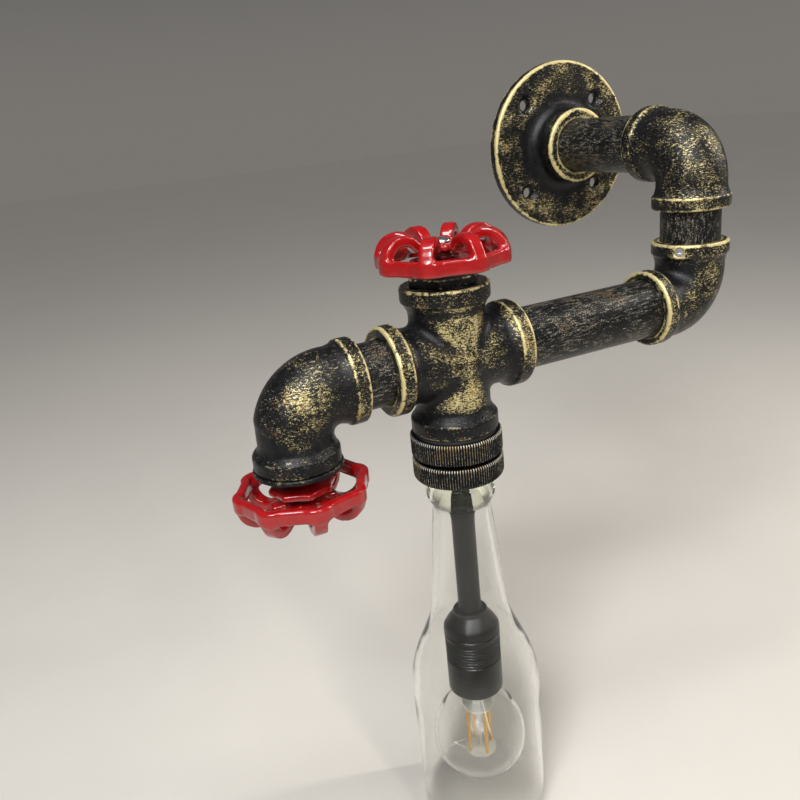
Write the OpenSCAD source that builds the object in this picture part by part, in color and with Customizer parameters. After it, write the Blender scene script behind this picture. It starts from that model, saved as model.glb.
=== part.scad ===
// Wall light of iron pipe fittings, with a swinging arm, two handwheels and a bottle shade.
// Millimetres. The origin is the centre of the wall flange's back face.
// +Y points into the wall, +Z is up, and the arm points along -X at rest.

/* [Wall flange] */
// Outside diameter of the wall flange
flange_d = 87; // [80:1:100]
// Thickness of the flange plate
flange_t = 6; // [4:0.5:8]
// Wall of the flange hub outside the pipe
flange_hub_wall = 5.5; // [4:0.5:7]
// Height of the flange hub from the wall
flange_hub_h = 20; // [18:1:28]
// Diameter of the circle of fixing holes
fixing_pcd = 64; // [60:1:68]
// Diameter of one fixing hole
fixing_hole_d = 5.5; // [4:0.5:6.5]
// Diameter of a fixing hole's countersink
fixing_sink_d = 10.5; // [8:0.5:12]
// Number of fixing holes
fixing_count = 4; // [3:1:6]

/* [Pipe] */
// Outside diameter of the pipe
pipe_od = 26.9; // [25:0.1:29]
// Wall thickness of the pipe
pipe_wall = 2.6; // [2.2:0.1:3]
// Depth to which pipe ends and plugs go into a socket
thread_len = 12; // [10:0.5:13]
// Radial gap of a seat that does not turn
seat_gap = 0.05; // [0.02:0.01:0.08]
// Radial gap of a bearing that turns
run_gap = 0.06; // [0.03:0.01:0.09]
// Gap between faces that pass each other
face_gap = 0.3; // [0.2:0.05:0.4]

/* [Elbows] */
// Centre of an elbow to the end of its socket
elbow_reach = 28; // [27:0.5:34]
// Width of the band around an elbow socket
elbow_band_w = 6.3; // [5:0.1:8]
// Wall of an elbow's band outside the pipe
elbow_band_wall = 3.9; // [3.5:0.1:5]
// Wall of an elbow's body outside the pipe
elbow_body_wall = 2.1; // [1.8:0.1:2.6]
// Radius of an elbow's inside corner
elbow_throat_r = 0.5; // [0.3:0.1:1]

/* [Cross] */
// Centre of the cross to the end of a socket
cross_reach = 31; // [29:0.5:36]
// Width of the band around a cross socket
cross_band_w = 6.7; // [5:0.1:8]
// Wall of a cross band outside the pipe
cross_band_wall = 5.05; // [4:0.05:6]
// Wall of the cross's body outside the pipe
cross_body_wall = 2.3; // [1.8:0.1:3]
// How far the round belly stands out from the cross's branches
cross_belly = 1.2; // [0.6:0.1:2]

/* [Fitting edges] */
// Length of the flared shoulder behind a band
shoulder_len = 3.6; // [2:0.1:5]
// Step from a shoulder up to its band
band_step = 0.9; // [0.6:0.1:1.4]
// Chamfer on a band's edges
band_edge = 0.6; // [0.3:0.1:0.9]

/* [Arm] */
// Distance from the wall to the arm's axis
standoff = 100; // [90:1:130]
// Distance from the swing axis to the lamp's axis
arm_reach = 131; // [110:1:170]
// Length of swivel tube that shows between its two elbows
swivel_gap = 14.5; // [8:0.5:30]
// Length of nipple that shows between the cross and the end elbow
end_gap = 11.7; // [6:0.1:30]

/* [Swivel] */
// Depth of the groove that holds the arm up
groove_depth = 1.5; // [1.2:0.1:1.6]
// Diameter of a retaining screw
grub_d = 4; // [3:0.5:5]
// Number of retaining screws
grub_count = 3; // [2:1:4]
// Depth of a retaining screw below the band's surface
grub_sunk = 0.4; // [0.2:0.1:0.8]

/* [Handwheels] */
// Diameter of a handwheel across its lobes
wheel_d = 55.6; // [52:0.2:62]
// How far the flat sides lie in from the line that touches two lobes
side_dip = 0.8; // [0.4:0.1:1.2]
// Rounding diameter of a lobe
wheel_lobe_d = 15; // [14:0.5:16]
// Number of lobes and ribs
wheel_ribs = 8; // [8:1:8]
// Height of the rim band
rim_h = 6; // [5:0.5:7]
// Wall thickness of the rim band
rim_wall = 3.6; // [3:0.1:4.4]
// Width of a rib
rib_w = 5.4; // [4.6:0.1:6]
// Thickness of a rib
rib_t = 4.1; // [3.5:0.1:4.5]
// Height of the top of a rib above the rim's near edge
rib_top = 14.2; // [13.5:0.1:16]
// Distance of a rib's outer face in from the lobe's tip
rib_inset = 0.7; // [0.5:0.1:1.2]
// Diameter of the star-shaped hub, across its corners
hub_d = 21.5; // [20.5:0.5:23]
// Thickness of the hub
hub_t = 2.7; // [2.2:0.1:3.2]
// Height of the hub's top above the rim's near edge
hub_top = 9.3; // [8.6:0.1:10.5]
// Depth of a rib's root in the hub
rib_root = 2.25; // [2:0.05:2.6]
// Diameter of the core between the hub and its plate
hub_core_d = 11; // [10:0.5:14]
// Diameter of the star-shaped plate under the hub, across its corners
plate_d = 27.4; // [26:0.2:29]
// Thickness of that plate
plate_t = 2.9; // [2.2:0.1:3.2]
// Height of the plate's underside above the rim's near edge
plate_foot = 0.1; // [0.1:0.1:1]
// How far the core stands out below the plate
core_out = 1.7; // [1:0.1:2]
// How far the plate's sides lie in from the line between two corners
plate_dip = 0.6; // [0.2:0.1:1.2]
// How far the hub's sides lie in from the line between two corners
hub_dip = 1.6; // [0.8:0.1:2]
// Gap between a plug's head and the rim's near edge
rim_lift = 3.3; // [2.5:0.1:4]
// Turn of the upper handwheel about its spindle
top_wheel_turn = 4; // [-22:1:22]
// Turn of the lower handwheel about its spindle
end_wheel_turn = 5; // [-22:1:22]

/* [Plugs and spindles] */
// Width across flats of the upper plug's head
top_plug_af = 26.5; // [24:0.5:30]
// Turn of the upper plug's head about its axis
top_plug_turn = -4; // [-30:1:30]
// Height of the upper plug's head
top_plug_h = 3.7; // [3:0.1:6]
// Diameter of the lower plug's flat head
end_plug_d = 36; // [32:0.5:36]
// Height of that head's edge
end_plug_edge = 2.1; // [1.6:0.1:4]
// Bevel of that head's edge
end_plug_bevel = 0.4; // [0.2:0.1:0.6]
// Diameter of the raised face in the middle of that head
end_plug_face_d = 18; // [16:0.5:24]
// Height of the lower plug's head
end_plug_h = 5; // [3:0.1:7]
// Diameter of a spindle in its plug
spindle_d = 8; // [7:0.5:10]
// Diameter of a spindle in its handwheel
spindle_neck_d = 6; // [5.5:0.5:6.5]
// Distance of a spindle's end below the hub's top
spindle_short = 1; // [0.5:0.1:2]
// Diameter of the clip that holds a spindle
clip_d = 13; // [12:0.5:15]
// Thickness of that clip
clip_t = 0.9; // [0.7:0.1:1.2]
// Depth of the clip's groove
clip_groove = 0.8; // [0.6:0.1:1]
// Diameter of a handwheel screw's shank
screw_d = 4; // [3:0.5:4]
// Length of a handwheel screw's shank
screw_len = 8; // [6:0.5:10]
// Diameter of a handwheel screw's head
screw_head_d = 8.2; // [7.6:0.1:10]
// Height of a handwheel screw's head
screw_head_h = 2; // [1.5:0.1:3]

/* [Bottle clamp] */
// Outside diameter of the knurled rings
ring_d = 39.4; // [38:0.2:42]
// Height of one knurled ring
ring_h = 9.4; // [8.6:0.1:11]
// Chamfer on a knurled ring's edges
ring_edge = 0.7; // [0.4:0.1:1.2]
// Chamfer on the clamp ring's lower edge
ring_foot = 2.2; // [1:0.1:2.6]
// Gap between the two knurled rings
ring_gap = 1.6; // [1:0.1:3]
// Thickness of the washer above the rings
washer_t = 1.6; // [1:0.1:2.5]
// How far the washer's rim lies in from the rings' outside
washer_inset = 2.2; // [1.5:0.1:3]
// Diameter of the adapter's threaded spigot
spigot_d = 32; // [31:0.5:33]
// Depth of the adapter's web below the cross
web_t = 7; // [5:0.5:8]
// Thickness of the gasket on the bottle's mouth
gasket_t = 1.5; // [1:0.1:2]
// Thickness of the lip that carries the bottle
lip_t = 2.3; // [1.8:0.1:2.6]
// Thickness of the split ring under the bottle's bead
grip_t = 1.15; // [0.9:0.05:1.5]

/* [Bottle] */
// Diameter of the bead at the bottle's mouth
bead_d = 26; // [25:0.2:26.6]
// Diameter of the bottle's mouth opening
mouth_d = 18; // [17.4:0.2:19]
// Diameter of the groove under the bead
neck_groove_d = 24; // [23:0.2:24.6]
// Diameter of the collar below the clamp
collar_d = 30.4; // [28:0.2:33]
// Height of that collar
collar_h = 7; // [5:0.5:11]
// Length of the taper from the collar to the neck
collar_fall = 3; // [2:0.5:5]
// Diameter of the neck just below the collar
neck_d = 25.8; // [24.6:0.2:28]
// Diameter of the neck at the shoulder
neck_foot_d = 35.4; // [33:0.2:38]
// Length from the collar to the shoulder
neck_len = 54; // [48:1:70]
// Diameter of the bottle's body
body_d = 61; // [56:1:75]
// Length of the shoulder
shoulder_drop = 40; // [30:1:60]
// Length of the body down to the cut edge
body_len = 66; // [58:1:110]
// Thickness of the glass
glass_t = 2.6; // [2:0.1:3]

/* [Lamp] */
// Outside diameter of the lamp tube
tube_d = 9.5; // [9:0.1:10]
// Bore of the lamp tube
tube_bore = 7.2; // [6.8:0.1:7.4]
// Width across flats of the tube's nuts
nut_af = 14; // [13:0.5:14.5]
// Thickness of one tube nut
nut_t = 4; // [3:0.5:5]
// Length of tube above its upper nut
tube_over = 1; // [0.5:0.5:3]
// Length of bare tube between the clamp and the sleeve
tube_bare = 16.7; // [8:0.1:20]
// Thickness of the black sleeve on the tube
sleeve_t = 0.45; // [0.3:0.05:0.6]
// Thickness of the sleeve's lip
sleeve_lip_t = 0.25; // [0.15:0.05:0.4]
// Length of the sleeve
sleeve_len = 52.3; // [46:0.1:64]
// Diameter of the lampholder
holder_d = 26; // [24:0.5:27]
// Height of the lampholder's domed cap
holder_cap_h = 12; // [10:0.5:16]
// Length of the lampholder's skirt
holder_skirt_h = 32; // [28:0.5:40]
// Wall thickness of the lampholder
holder_wall = 1.6; // [1.2:0.1:2]
// Diameter of the bulb's screw cap
bulb_cap_d = 13.9; // [13.5:0.1:14.2]
// Length of the bulb's screw cap
bulb_cap_h = 17; // [14:0.5:20]
// Height of the contact cone on the bulb's screw cap
bulb_tip_h = 4; // [3:0.5:6]
// Diameter of the bulb's tip contact
bulb_tip_d = 7; // [5:0.5:9]
// Diameter of the bulb
bulb_d = 45; // [40:0.5:46]
// Length of the bulb's glass
bulb_glass_h = 50; // [47:0.5:54]
// Thickness of the bulb's glass
bulb_glass_t = 0.9; // [0.7:0.1:1.2]
// Number of light strips in the bulb
strip_count = 4; // [2:1:6]
// Length of one light strip
strip_len = 24; // [18:0.5:28]
// Diameter of one light strip
strip_d = 1.6; // [1.2:0.1:2]
// Distance of the light strips from the bulb's axis
strip_out = 6; // [5:0.5:9]
// Length of the stem that carries the light strips
stem_len = 13; // [11:0.5:15]
// Diameter of that stem
stem_d = 6; // [4:0.5:7]

/* [Wiring] */
// Diameter of the lamp cable
cable_d = 5.2; // [4:0.1:6]
// Bend radius of the cable inside the cross
cable_bend = 10; // [8:0.5:11]
// Width of the terminal block
block_w = 16; // [14:0.5:16.5]
// Height of the terminal block
block_h = 13; // [11:0.5:13]
// Length of the terminal block
block_len = 18; // [14:0.5:22]
// Diameter of a terminal's wire hole
wire_hole_d = 3; // [2:0.5:3.5]
// Distance of the terminal block from the wall
block_from_wall = 16; // [14:0.5:20]

/* [Hidden] */
// Angles
quarter_turn = 90;
half_turn = 180;

$fn = 72;
// Overshoot of a cut past the face that it opens
cut = 1;
// Colours as the finishes show
iron = "#2b2724";
worn_iron = "#3a332b";
red_enamel = "#c8140f";
silver = "#c9ccd0";
clear_glass = "#dfe8dc";
black = "#1a1a1a";
brass = "#b58a3c";
ceramic = "#ece7dc";

pipe_r = pipe_od / 2;
bore_r = pipe_r - pipe_wall;
socket_r = pipe_r + seat_gap;
elbow_body_r = pipe_r + elbow_body_wall;
elbow_band_r = pipe_r + elbow_band_wall;
elbow_bend_r = elbow_body_r + elbow_throat_r;
cross_body_r = pipe_r + cross_body_wall;
cross_band_r = pipe_r + cross_band_wall;

// Places of the axes
arm_y = -standoff;
arm_z = -(2 * elbow_reach + swivel_gap);
lamp_x = -arm_reach;
end_x = lamp_x - cross_reach - end_gap - elbow_reach;

// Heights below the arm's axis, along the lamp's axis
clamp_seat = -cross_reach;
lock_top = clamp_seat - washer_t;
clamp_top = lock_top - ring_h - ring_gap;
clamp_foot = clamp_top - ring_h;
lip_top = clamp_foot + lip_t;
grip_foot = lip_top + seat_gap;
grip_top = grip_foot + grip_t;
bead_foot = grip_top + seat_gap;
spigot_foot = bead_foot + seat_gap;
web_foot = clamp_seat - web_t;
gasket_foot = web_foot - gasket_t;
mouth_top = gasket_foot - seat_gap;
groove_foot = clamp_foot - face_gap;
collar_slope = (collar_d - neck_groove_d) / 2;
collar_foot = groove_foot - collar_slope - collar_h;
neck_top = collar_foot - collar_fall;
shoulder_top = neck_top - neck_len;
body_top = shoulder_top - shoulder_drop;
bottle_foot = body_top - body_len;
spigot_r = spigot_d / 2;
clamp_thread_r = spigot_r + run_gap;
mouth_clear_r = bead_d / 2 + 2 * face_gap;
tube_r = tube_d / 2;
sleeve_top = clamp_foot - tube_bare;
sleeve_r = tube_r + seat_gap + sleeve_t;
lip_len = 3 * sleeve_t;
holder_top = sleeve_top - sleeve_len;
holder_r = holder_d / 2;
skirt_top = holder_top - holder_cap_h;
skirt_foot = skirt_top - holder_skirt_h;
bulb_cap_top = skirt_foot + bulb_cap_h;
bulb_foot = skirt_foot - bulb_glass_h;
tube_top = clamp_seat + nut_t + tube_over;
tube_foot = holder_top - holder_cap_h / 2;
shell_wall = 0.6;
shell_r = bulb_cap_d / 2 + seat_gap;
core_top = skirt_top - holder_wall;

// Handwheel sizes
lobe_r = wheel_lobe_d / 2;
lobe_centre = wheel_d / 2 - lobe_r;
rib_out = wheel_d / 2 - rib_inset;
rib_in = hub_d / 2 - rib_root;
rib_arch_r = (rib_out - rib_in) / 2;
rib_arch_x = (rib_out + rib_in) / 2;
rib_arch_z = rib_top - rib_arch_r;
spindle_r = spindle_d / 2;
neck_r = spindle_neck_d / 2;

// Height of a handwheel's rim above its socket's end, for a plug head of height head_h
function rim_height(head_h) = head_h + rim_lift;

// Outside of the bottle's shoulder at share t of its drop: neck to body in one smooth wave
function shoulder_r(t) = neck_foot_d / 2 + (body_d - neck_foot_d) / 2 * (1 - cos(180 * t)) / 2;
shoulder_steps = 12;
function shoulder_points(wall) = [
    for (i = [0:shoulder_steps])
        [shoulder_r(i / shoulder_steps) - wall, shoulder_top - shoulder_drop * i / shoulder_steps]
];

// Outside of the bulb from its neck to its tip: a flare, then a ball
bulb_r = bulb_d / 2;
bulb_neck_r = bulb_cap_d / 2;
bulb_ball_z = bulb_foot + bulb_r;
bulb_join = 40;
bulb_steps = 10;
function bulb_points(wall) = [
    for (i = [0:bulb_steps])
        let (a = bulb_join - (bulb_join + quarter_turn) * i / bulb_steps)
        [max((bulb_r - wall) * cos(a), 0), bulb_ball_z + (bulb_r - wall) * sin(a)]
];

function reversed(list) = [for (i = [len(list) - 1:-1:0]) list[i]];

// One end of a fitting along +Z from a start height: body, flared shoulder and band
module socket_leg(start, reach, band_w, band_r, body_r) {
    band_foot = reach - band_w;
    rotate_extrude()
        polygon([
            [0, start],
            [body_r, start],
            [body_r, band_foot - shoulder_len],
            [band_r - band_step, band_foot],
            [band_r - band_edge, band_foot],
            [band_r, band_foot + band_edge],
            [band_r, reach - band_edge],
            [band_r - band_edge, reach],
            [0, reach]
        ]);
}

// Waterway and socket of one end of a fitting along +Z
module socket_bore(start, reach, seat_r) {
    translate([0, 0, start])
        cylinder(r = bore_r, h = reach - start);
    translate([0, 0, reach - thread_len])
        cylinder(r = seat_r, h = thread_len + cut);
}

// Quarter bend from +X down to -Z about the elbow's inside corner
module quarter_bend(bend_r, r) {
    translate([bend_r, 0, -bend_r])
        rotate([90, 0, 0])
            rotate([0, 0, 90])
                rotate_extrude(angle = 90)
                    translate([bend_r, 0])
                        circle(r = r);
}

module elbow_leg() {
    socket_leg(elbow_bend_r, elbow_reach, elbow_band_w, elbow_band_r, elbow_body_r);
}

// Elbow with one end along +X and the other along -Z, whose seat may be a bearing
module elbow(down_seat_r) {
    difference() {
        union() {
            quarter_bend(elbow_bend_r, elbow_body_r);
            rotate([0, 90, 0]) elbow_leg();
            rotate([180, 0, 0]) elbow_leg();
        }
        quarter_bend(elbow_bend_r, bore_r);
        rotate([0, 90, 0]) socket_bore(elbow_bend_r, elbow_reach, socket_r);
        rotate([180, 0, 0]) socket_bore(elbow_bend_r, elbow_reach, down_seat_r);
    }
}

module pipe_length(len) {
    difference() {
        cylinder(r = pipe_r, h = len);
        translate([0, 0, -cut])
            cylinder(r = bore_r, h = len + 2 * cut);
    }
}

module ring(r_out, r_in, z_foot, z_top) {
    translate([0, 0, z_foot])
        difference() {
            cylinder(r = r_out, h = z_top - z_foot);
            translate([0, 0, -cut])
                cylinder(r = r_in, h = z_top - z_foot + 2 * cut);
        }
}

module at_lamp() {
    translate([lamp_x, arm_y, arm_z]) children();
}

// Upper handwheel's place: on the cross's upper end
module at_top_end() {
    translate([lamp_x, arm_y, arm_z + cross_reach]) children();
}

// Lower handwheel's place: under the end elbow's lower end
module at_lower_end() {
    translate([end_x, arm_y, arm_z - elbow_reach])
        rotate([180, 0, 0]) children();
}

module wall_flange() {
    hub_r = pipe_r + flange_hub_wall;
    color(worn_iron)
        rotate([90, 0, 0])
            difference() {
                rotate_extrude()
                    polygon([
                        [0, 0],
                        [flange_d / 2, 0],
                        [flange_d / 2, flange_t - band_edge],
                        [flange_d / 2 - band_edge, flange_t],
                        [hub_r + shoulder_len, flange_t],
                        [hub_r, flange_t + shoulder_len],
                        [hub_r, flange_hub_h - band_edge],
                        [hub_r - band_edge, flange_hub_h],
                        [0, flange_hub_h]
                    ]);
                translate([0, 0, -cut])
                    cylinder(r = bore_r, h = flange_hub_h);
                translate([0, 0, flange_hub_h - thread_len])
                    cylinder(r = socket_r, h = thread_len + cut);
                for (i = [0:fixing_count - 1])
                    rotate([0, 0, 45 + 360 * i / fixing_count])
                        translate([fixing_pcd / 2, 0, 0])
                            fixing_hole();
            }
}

module fixing_hole() {
    sink_h = (fixing_sink_d - fixing_hole_d) / 2;
    translate([0, 0, -cut])
        cylinder(d = fixing_hole_d, h = flange_t + 2 * cut);
    translate([0, 0, flange_t - sink_h])
        cylinder(d1 = fixing_hole_d, d2 = fixing_sink_d, h = sink_h);
}

module wall_nipple() {
    start = flange_hub_h - thread_len;
    color(iron)
        translate([0, -start, 0])
            rotate([90, 0, 0])
                pipe_length(standoff - elbow_reach + thread_len - start);
}

module wall_elbow() {
    color(worn_iron)
        translate([0, arm_y, 0])
            rotate([0, 0, 90]) elbow(socket_r);
}

module swivel_tube() {
    top = -(elbow_reach - thread_len);
    foot = -(elbow_reach + swivel_gap + thread_len - face_gap);
    color(iron)
        translate([0, arm_y, 0])
            difference() {
                translate([0, 0, foot]) pipe_length(top - foot);
                translate([0, 0, grub_z() - grub_d / 2 - face_gap])
                    difference() {
                        cylinder(r = pipe_r + cut, h = grub_d + 2 * face_gap);
                        translate([0, 0, -cut])
                            cylinder(r = pipe_r - groove_depth, h = grub_d + 2 * face_gap + 2 * cut);
                    }
            }
}

// Height of the retaining screws: the middle of the arm elbow's upper band
function grub_z() = arm_z + elbow_reach - elbow_band_w / 2;

module grub_rays(r, from, to) {
    for (i = [0:grub_count - 1])
        translate([0, arm_y, grub_z()])
            rotate([0, 0, 90 + 360 * i / grub_count])
                rotate([0, 90, 0])
                    translate([0, 0, from])
                        cylinder(r = r, h = to - from);
}

module swivel_screws() {
    color(silver)
        grub_rays(grub_d / 2, pipe_r - groove_depth + face_gap, elbow_band_r - grub_sunk);
}

module arm_elbow() {
    color(worn_iron)
        difference() {
            translate([0, arm_y, arm_z])
                rotate([0, 180, 0]) elbow(pipe_r + run_gap);
            grub_rays(grub_d / 2 + seat_gap, pipe_r - cut, elbow_band_r + cut);
        }
}

module terminal_block() {
    color(ceramic)
        translate([-block_w / 2, -block_from_wall - block_len, -block_h / 2])
            difference() {
                cube([block_w, block_len, block_h]);
                for (side = [1, 3])
                    translate([side * block_w / 4, -cut, block_h / 2])
                        rotate([-90, 0, 0])
                            cylinder(d = wire_hole_d, h = block_len + 2 * cut);
            }
}

// Cable on the pipes' centre line, from the terminal block to the swivel's middle
module wall_cable() {
    start = block_from_wall + block_len;
    split = elbow_reach + swivel_gap / 2;
    color(black) {
        translate([0, -start, 0])
            rotate([90, 0, 0])
                cylinder(d = cable_d, h = standoff - elbow_bend_r - start);
        translate([0, arm_y, 0])
            rotate([0, 0, 90]) quarter_bend(elbow_bend_r, cable_d / 2);
        translate([0, arm_y, -split])
            cylinder(d = cable_d, h = split - elbow_bend_r);
    }
}

// Cable on the pipes' centre line, from the swivel's middle to the lampholder
module arm_cable() {
    split = elbow_reach + swivel_gap / 2;
    color(black) {
        translate([0, arm_y, arm_z + elbow_bend_r])
            cylinder(d = cable_d, h = -arm_z - split - elbow_bend_r);
        translate([0, arm_y, arm_z])
            rotate([0, 180, 0]) quarter_bend(elbow_bend_r, cable_d / 2);
        translate([lamp_x + cable_bend, arm_y, arm_z])
            rotate([0, 90, 0])
                cylinder(d = cable_d, h = arm_reach - cable_bend - elbow_bend_r);
        at_lamp() {
            quarter_bend(cable_bend, cable_d / 2);
            translate([0, 0, core_top])
                cylinder(d = cable_d, h = -cable_bend - core_top);
        }
    }
}

module arm_pipe() {
    start = elbow_reach - thread_len;
    color(iron)
        translate([-start, arm_y, arm_z])
            rotate([0, -90, 0])
                pipe_length(arm_reach - cross_reach + thread_len - start);
}

module cross_fitting() {
    ends = [[0, quarter_turn, 0], [0, -quarter_turn, 0], [0, 0, 0], [half_turn, 0, 0]];
    color(worn_iron)
        at_lamp()
            difference() {
                union() {
                    sphere(r = cross_body_r + cross_belly);
                    for (turn = ends)
                        rotate(turn)
                            socket_leg(0, cross_reach, cross_band_w, cross_band_r, cross_body_r);
                }
                for (turn = ends)
                    rotate(turn) socket_bore(0, cross_reach, socket_r);
            }
}

module end_nipple() {
    color(iron)
        translate([end_x + elbow_reach - thread_len, arm_y, arm_z])
            rotate([0, 90, 0])
                pipe_length(end_gap + 2 * thread_len);
}

module end_elbow() {
    color(worn_iron)
        translate([end_x, arm_y, arm_z]) elbow(socket_r);
}

// Shank of a plug in its socket, with the spindle's bearing right through it and its head
module plug(head_h) {
    difference() {
        union() {
            translate([0, 0, -thread_len])
                cylinder(r = pipe_r, h = thread_len);
            children();
        }
        translate([0, 0, -thread_len - cut])
            cylinder(r = spindle_r + run_gap, h = thread_len + head_h + 2 * cut);
    }
}

module top_plug() {
    color(iron)
        at_top_end()
            plug(top_plug_h)
                rotate([0, 0, top_plug_turn])
                    cylinder(d = top_plug_af / cos(30), h = top_plug_h, $fn = 6);
}

module end_plug() {
    color(iron)
        at_lower_end()
            plug(end_plug_h)
                rotate_extrude()
                    polygon([
                        [0, 0],
                        [pipe_r, 0],
                        [pipe_r, seat_gap],
                        [end_plug_d / 2 - end_plug_bevel, seat_gap],
                        [end_plug_d / 2, seat_gap + end_plug_bevel],
                        [end_plug_d / 2, end_plug_edge - end_plug_bevel],
                        [end_plug_d / 2 - end_plug_bevel, end_plug_edge],
                        [end_plug_face_d / 2, end_plug_edge],
                        [end_plug_face_d / 2, end_plug_h],
                        [0, end_plug_h]
                    ]);
}

// Spindle with its clip groove, the shoulder that carries the handwheel and a tapped end
module spindle(head_h) {
    shoulder = rim_height(head_h) + plate_foot - core_out;
    tip = rim_height(head_h) + hub_top - spindle_short;
    clip_top = -thread_len - face_gap;
    foot = clip_top - 2 * clip_t;
    difference() {
        union() {
            translate([0, 0, foot])
                cylinder(r = spindle_r, h = shoulder - foot);
            cylinder(r = neck_r, h = tip);
        }
        ring(spindle_r + cut, spindle_r - clip_groove, clip_top - clip_t, clip_top);
        translate([0, 0, rim_height(head_h) + hub_top - screw_len - cut])
            cylinder(d = screw_d + 2 * seat_gap, h = screw_len + 2 * cut);
    }
}

module clip() {
    clip_top = -thread_len - face_gap;
    ring(clip_d / 2, spindle_r - clip_groove + seat_gap, clip_top - clip_t + seat_gap, clip_top - seat_gap);
}

module wheel_screw(head_h) {
    seat = rim_height(head_h) + hub_top;
    dome_r = (pow(screw_head_d / 2, 2) + pow(screw_head_h, 2)) / (2 * screw_head_h);
    translate([0, 0, seat - screw_len])
        cylinder(d = screw_d, h = screw_len);
    intersection() {
        translate([0, 0, seat + screw_head_h - dome_r])
            sphere(r = dome_r);
        translate([0, 0, seat])
            cylinder(d = screw_head_d, h = screw_head_h + cut);
    }
}

// Lobed outline of the rim, shrunk by a wall: an arc at each lobe, flat sides between
lobe_steps = 5;
function lobe_half_angle(r) = 180 / wheel_ribs + acos(1 - side_dip / r);
function rim_outline(wall) = [
    for (i = [0:wheel_ribs - 1])
        for (k = [-lobe_steps:lobe_steps])
            let (
                r = lobe_r - wall,
                turn = 360 * i / wheel_ribs,
                a = turn + lobe_half_angle(r) * k / lobe_steps
            )
            [lobe_centre * cos(turn) + r * cos(a), lobe_centre * sin(turn) + r * sin(a)]
];

// Star outline: a corner under each rib and hollow sides between
function star_outline(d, dip) = [
    for (i = [0:2 * wheel_ribs - 1])
        let (
            corner = d / 2,
            side = corner * cos(half_turn / wheel_ribs) - dip,
            r = i % 2 == 0 ? corner : side,
            a = half_turn * i / wheel_ribs
        )
        [r * cos(a), r * sin(a)]
];

module star(d, dip, foot, thick) {
    translate([0, 0, foot])
        linear_extrude(height = thick)
            polygon(star_outline(d, dip));
}

module wheel_rim() {
    linear_extrude(height = rim_h)
        difference() {
            polygon(rim_outline(0));
            polygon(rim_outline(rim_wall));
        }
}

// One arched rib from the rim's lobe over to the hub, with its feet sunk in both
module wheel_rib() {
    translate([0, rib_w / 2, 0])
        rotate([90, 0, 0])
            intersection() {
                translate([rib_arch_x, rib_arch_z, 0])
                    difference() {
                        cylinder(r = rib_arch_r, h = rib_w);
                        translate([0, 0, -cut])
                            cylinder(r = rib_arch_r - rib_t, h = rib_w + 2 * cut);
                    }
                translate([0, 0, -cut])
                    linear_extrude(height = rib_w + 2 * cut)
                        polygon([
                            [0, hub_top - hub_t + seat_gap],
                            [rib_arch_x, hub_top - hub_t + seat_gap],
                            [rib_arch_x, rim_h / 2],
                            [wheel_d, rim_h / 2],
                            [wheel_d, 2 * rib_top],
                            [0, 2 * rib_top]
                        ]);
            }
}

module handwheel(head_h, turn) {
    translate([0, 0, rim_height(head_h)])
        rotate([0, 0, turn])
            difference() {
                union() {
                    wheel_rim();
                    for (i = [0:wheel_ribs - 1])
                        rotate([0, 0, 360 * i / wheel_ribs]) wheel_rib();
                    star(plate_d, plate_dip, plate_foot, plate_t);
                    star(hub_d, hub_dip, hub_top - hub_t, hub_t);
                    translate([0, 0, plate_foot - core_out])
                        cylinder(d = hub_core_d, h = hub_top - plate_foot + core_out);
                }
                translate([0, 0, -rim_lift])
                    cylinder(r = neck_r + seat_gap, h = rim_lift + hub_top + cut);
            }
}

module top_spindle() {
    color(silver) at_top_end() spindle(top_plug_h);
}

module top_clip() {
    color(silver) at_top_end() clip();
}

module top_handwheel() {
    color(red_enamel) at_top_end() handwheel(top_plug_h, top_wheel_turn);
}

module top_screw() {
    color(silver) at_top_end() wheel_screw(top_plug_h);
}

module end_spindle() {
    color(silver) at_lower_end() spindle(end_plug_h);
}

module end_clip() {
    color(silver) at_lower_end() clip();
}

module end_handwheel() {
    color(red_enamel) at_lower_end() handwheel(end_plug_h, end_wheel_turn);
}

module end_screw() {
    color(silver) at_lower_end() wheel_screw(end_plug_h);
}

// Shank in the cross, web that holds the tube, and the spigot around the bottle's mouth
module bottle_adapter() {
    color(iron)
        at_lamp()
            difference() {
                union() {
                    translate([0, 0, clamp_seat])
                        cylinder(r = pipe_r, h = thread_len);
                    translate([0, 0, spigot_foot])
                        cylinder(r = spigot_r, h = clamp_seat - spigot_foot);
                }
                translate([0, 0, clamp_seat])
                    cylinder(r = bore_r, h = thread_len + cut);
                translate([0, 0, spigot_foot - cut])
                    cylinder(r = mouth_clear_r, h = web_foot - spigot_foot + cut);
                translate([0, 0, web_foot - cut])
                    cylinder(r = tube_r + seat_gap, h = web_t + 2 * cut);
            }
}

module seal_washer() {
    color(black)
        at_lamp()
            ring(ring_d / 2 - washer_inset, spigot_r + seat_gap, lock_top, clamp_seat);
}

// Solid of a knurled ring with its upper and lower edges cut back
module ring_blank(foot, top, foot_edge) {
    r = ring_d / 2;
    rotate_extrude()
        polygon([
            [0, foot],
            [r - foot_edge, foot],
            [r, foot + foot_edge],
            [r, top - ring_edge],
            [r - ring_edge, top],
            [0, top]
        ]);
}

module lock_ring() {
    foot = lock_top - ring_h;
    color(iron)
        at_lamp()
            difference() {
                ring_blank(foot, lock_top, ring_edge);
                translate([0, 0, foot - cut])
                    cylinder(r = spigot_r + seat_gap, h = ring_h + 2 * cut);
            }
}

module clamp_ring() {
    color(iron)
        at_lamp()
            difference() {
                ring_blank(clamp_foot, clamp_top, ring_foot);
                translate([0, 0, lip_top])
                    cylinder(r = clamp_thread_r, h = ring_h);
                translate([0, 0, clamp_foot - cut])
                    cylinder(r = bead_d / 2 + face_gap, h = ring_h);
            }
}

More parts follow.
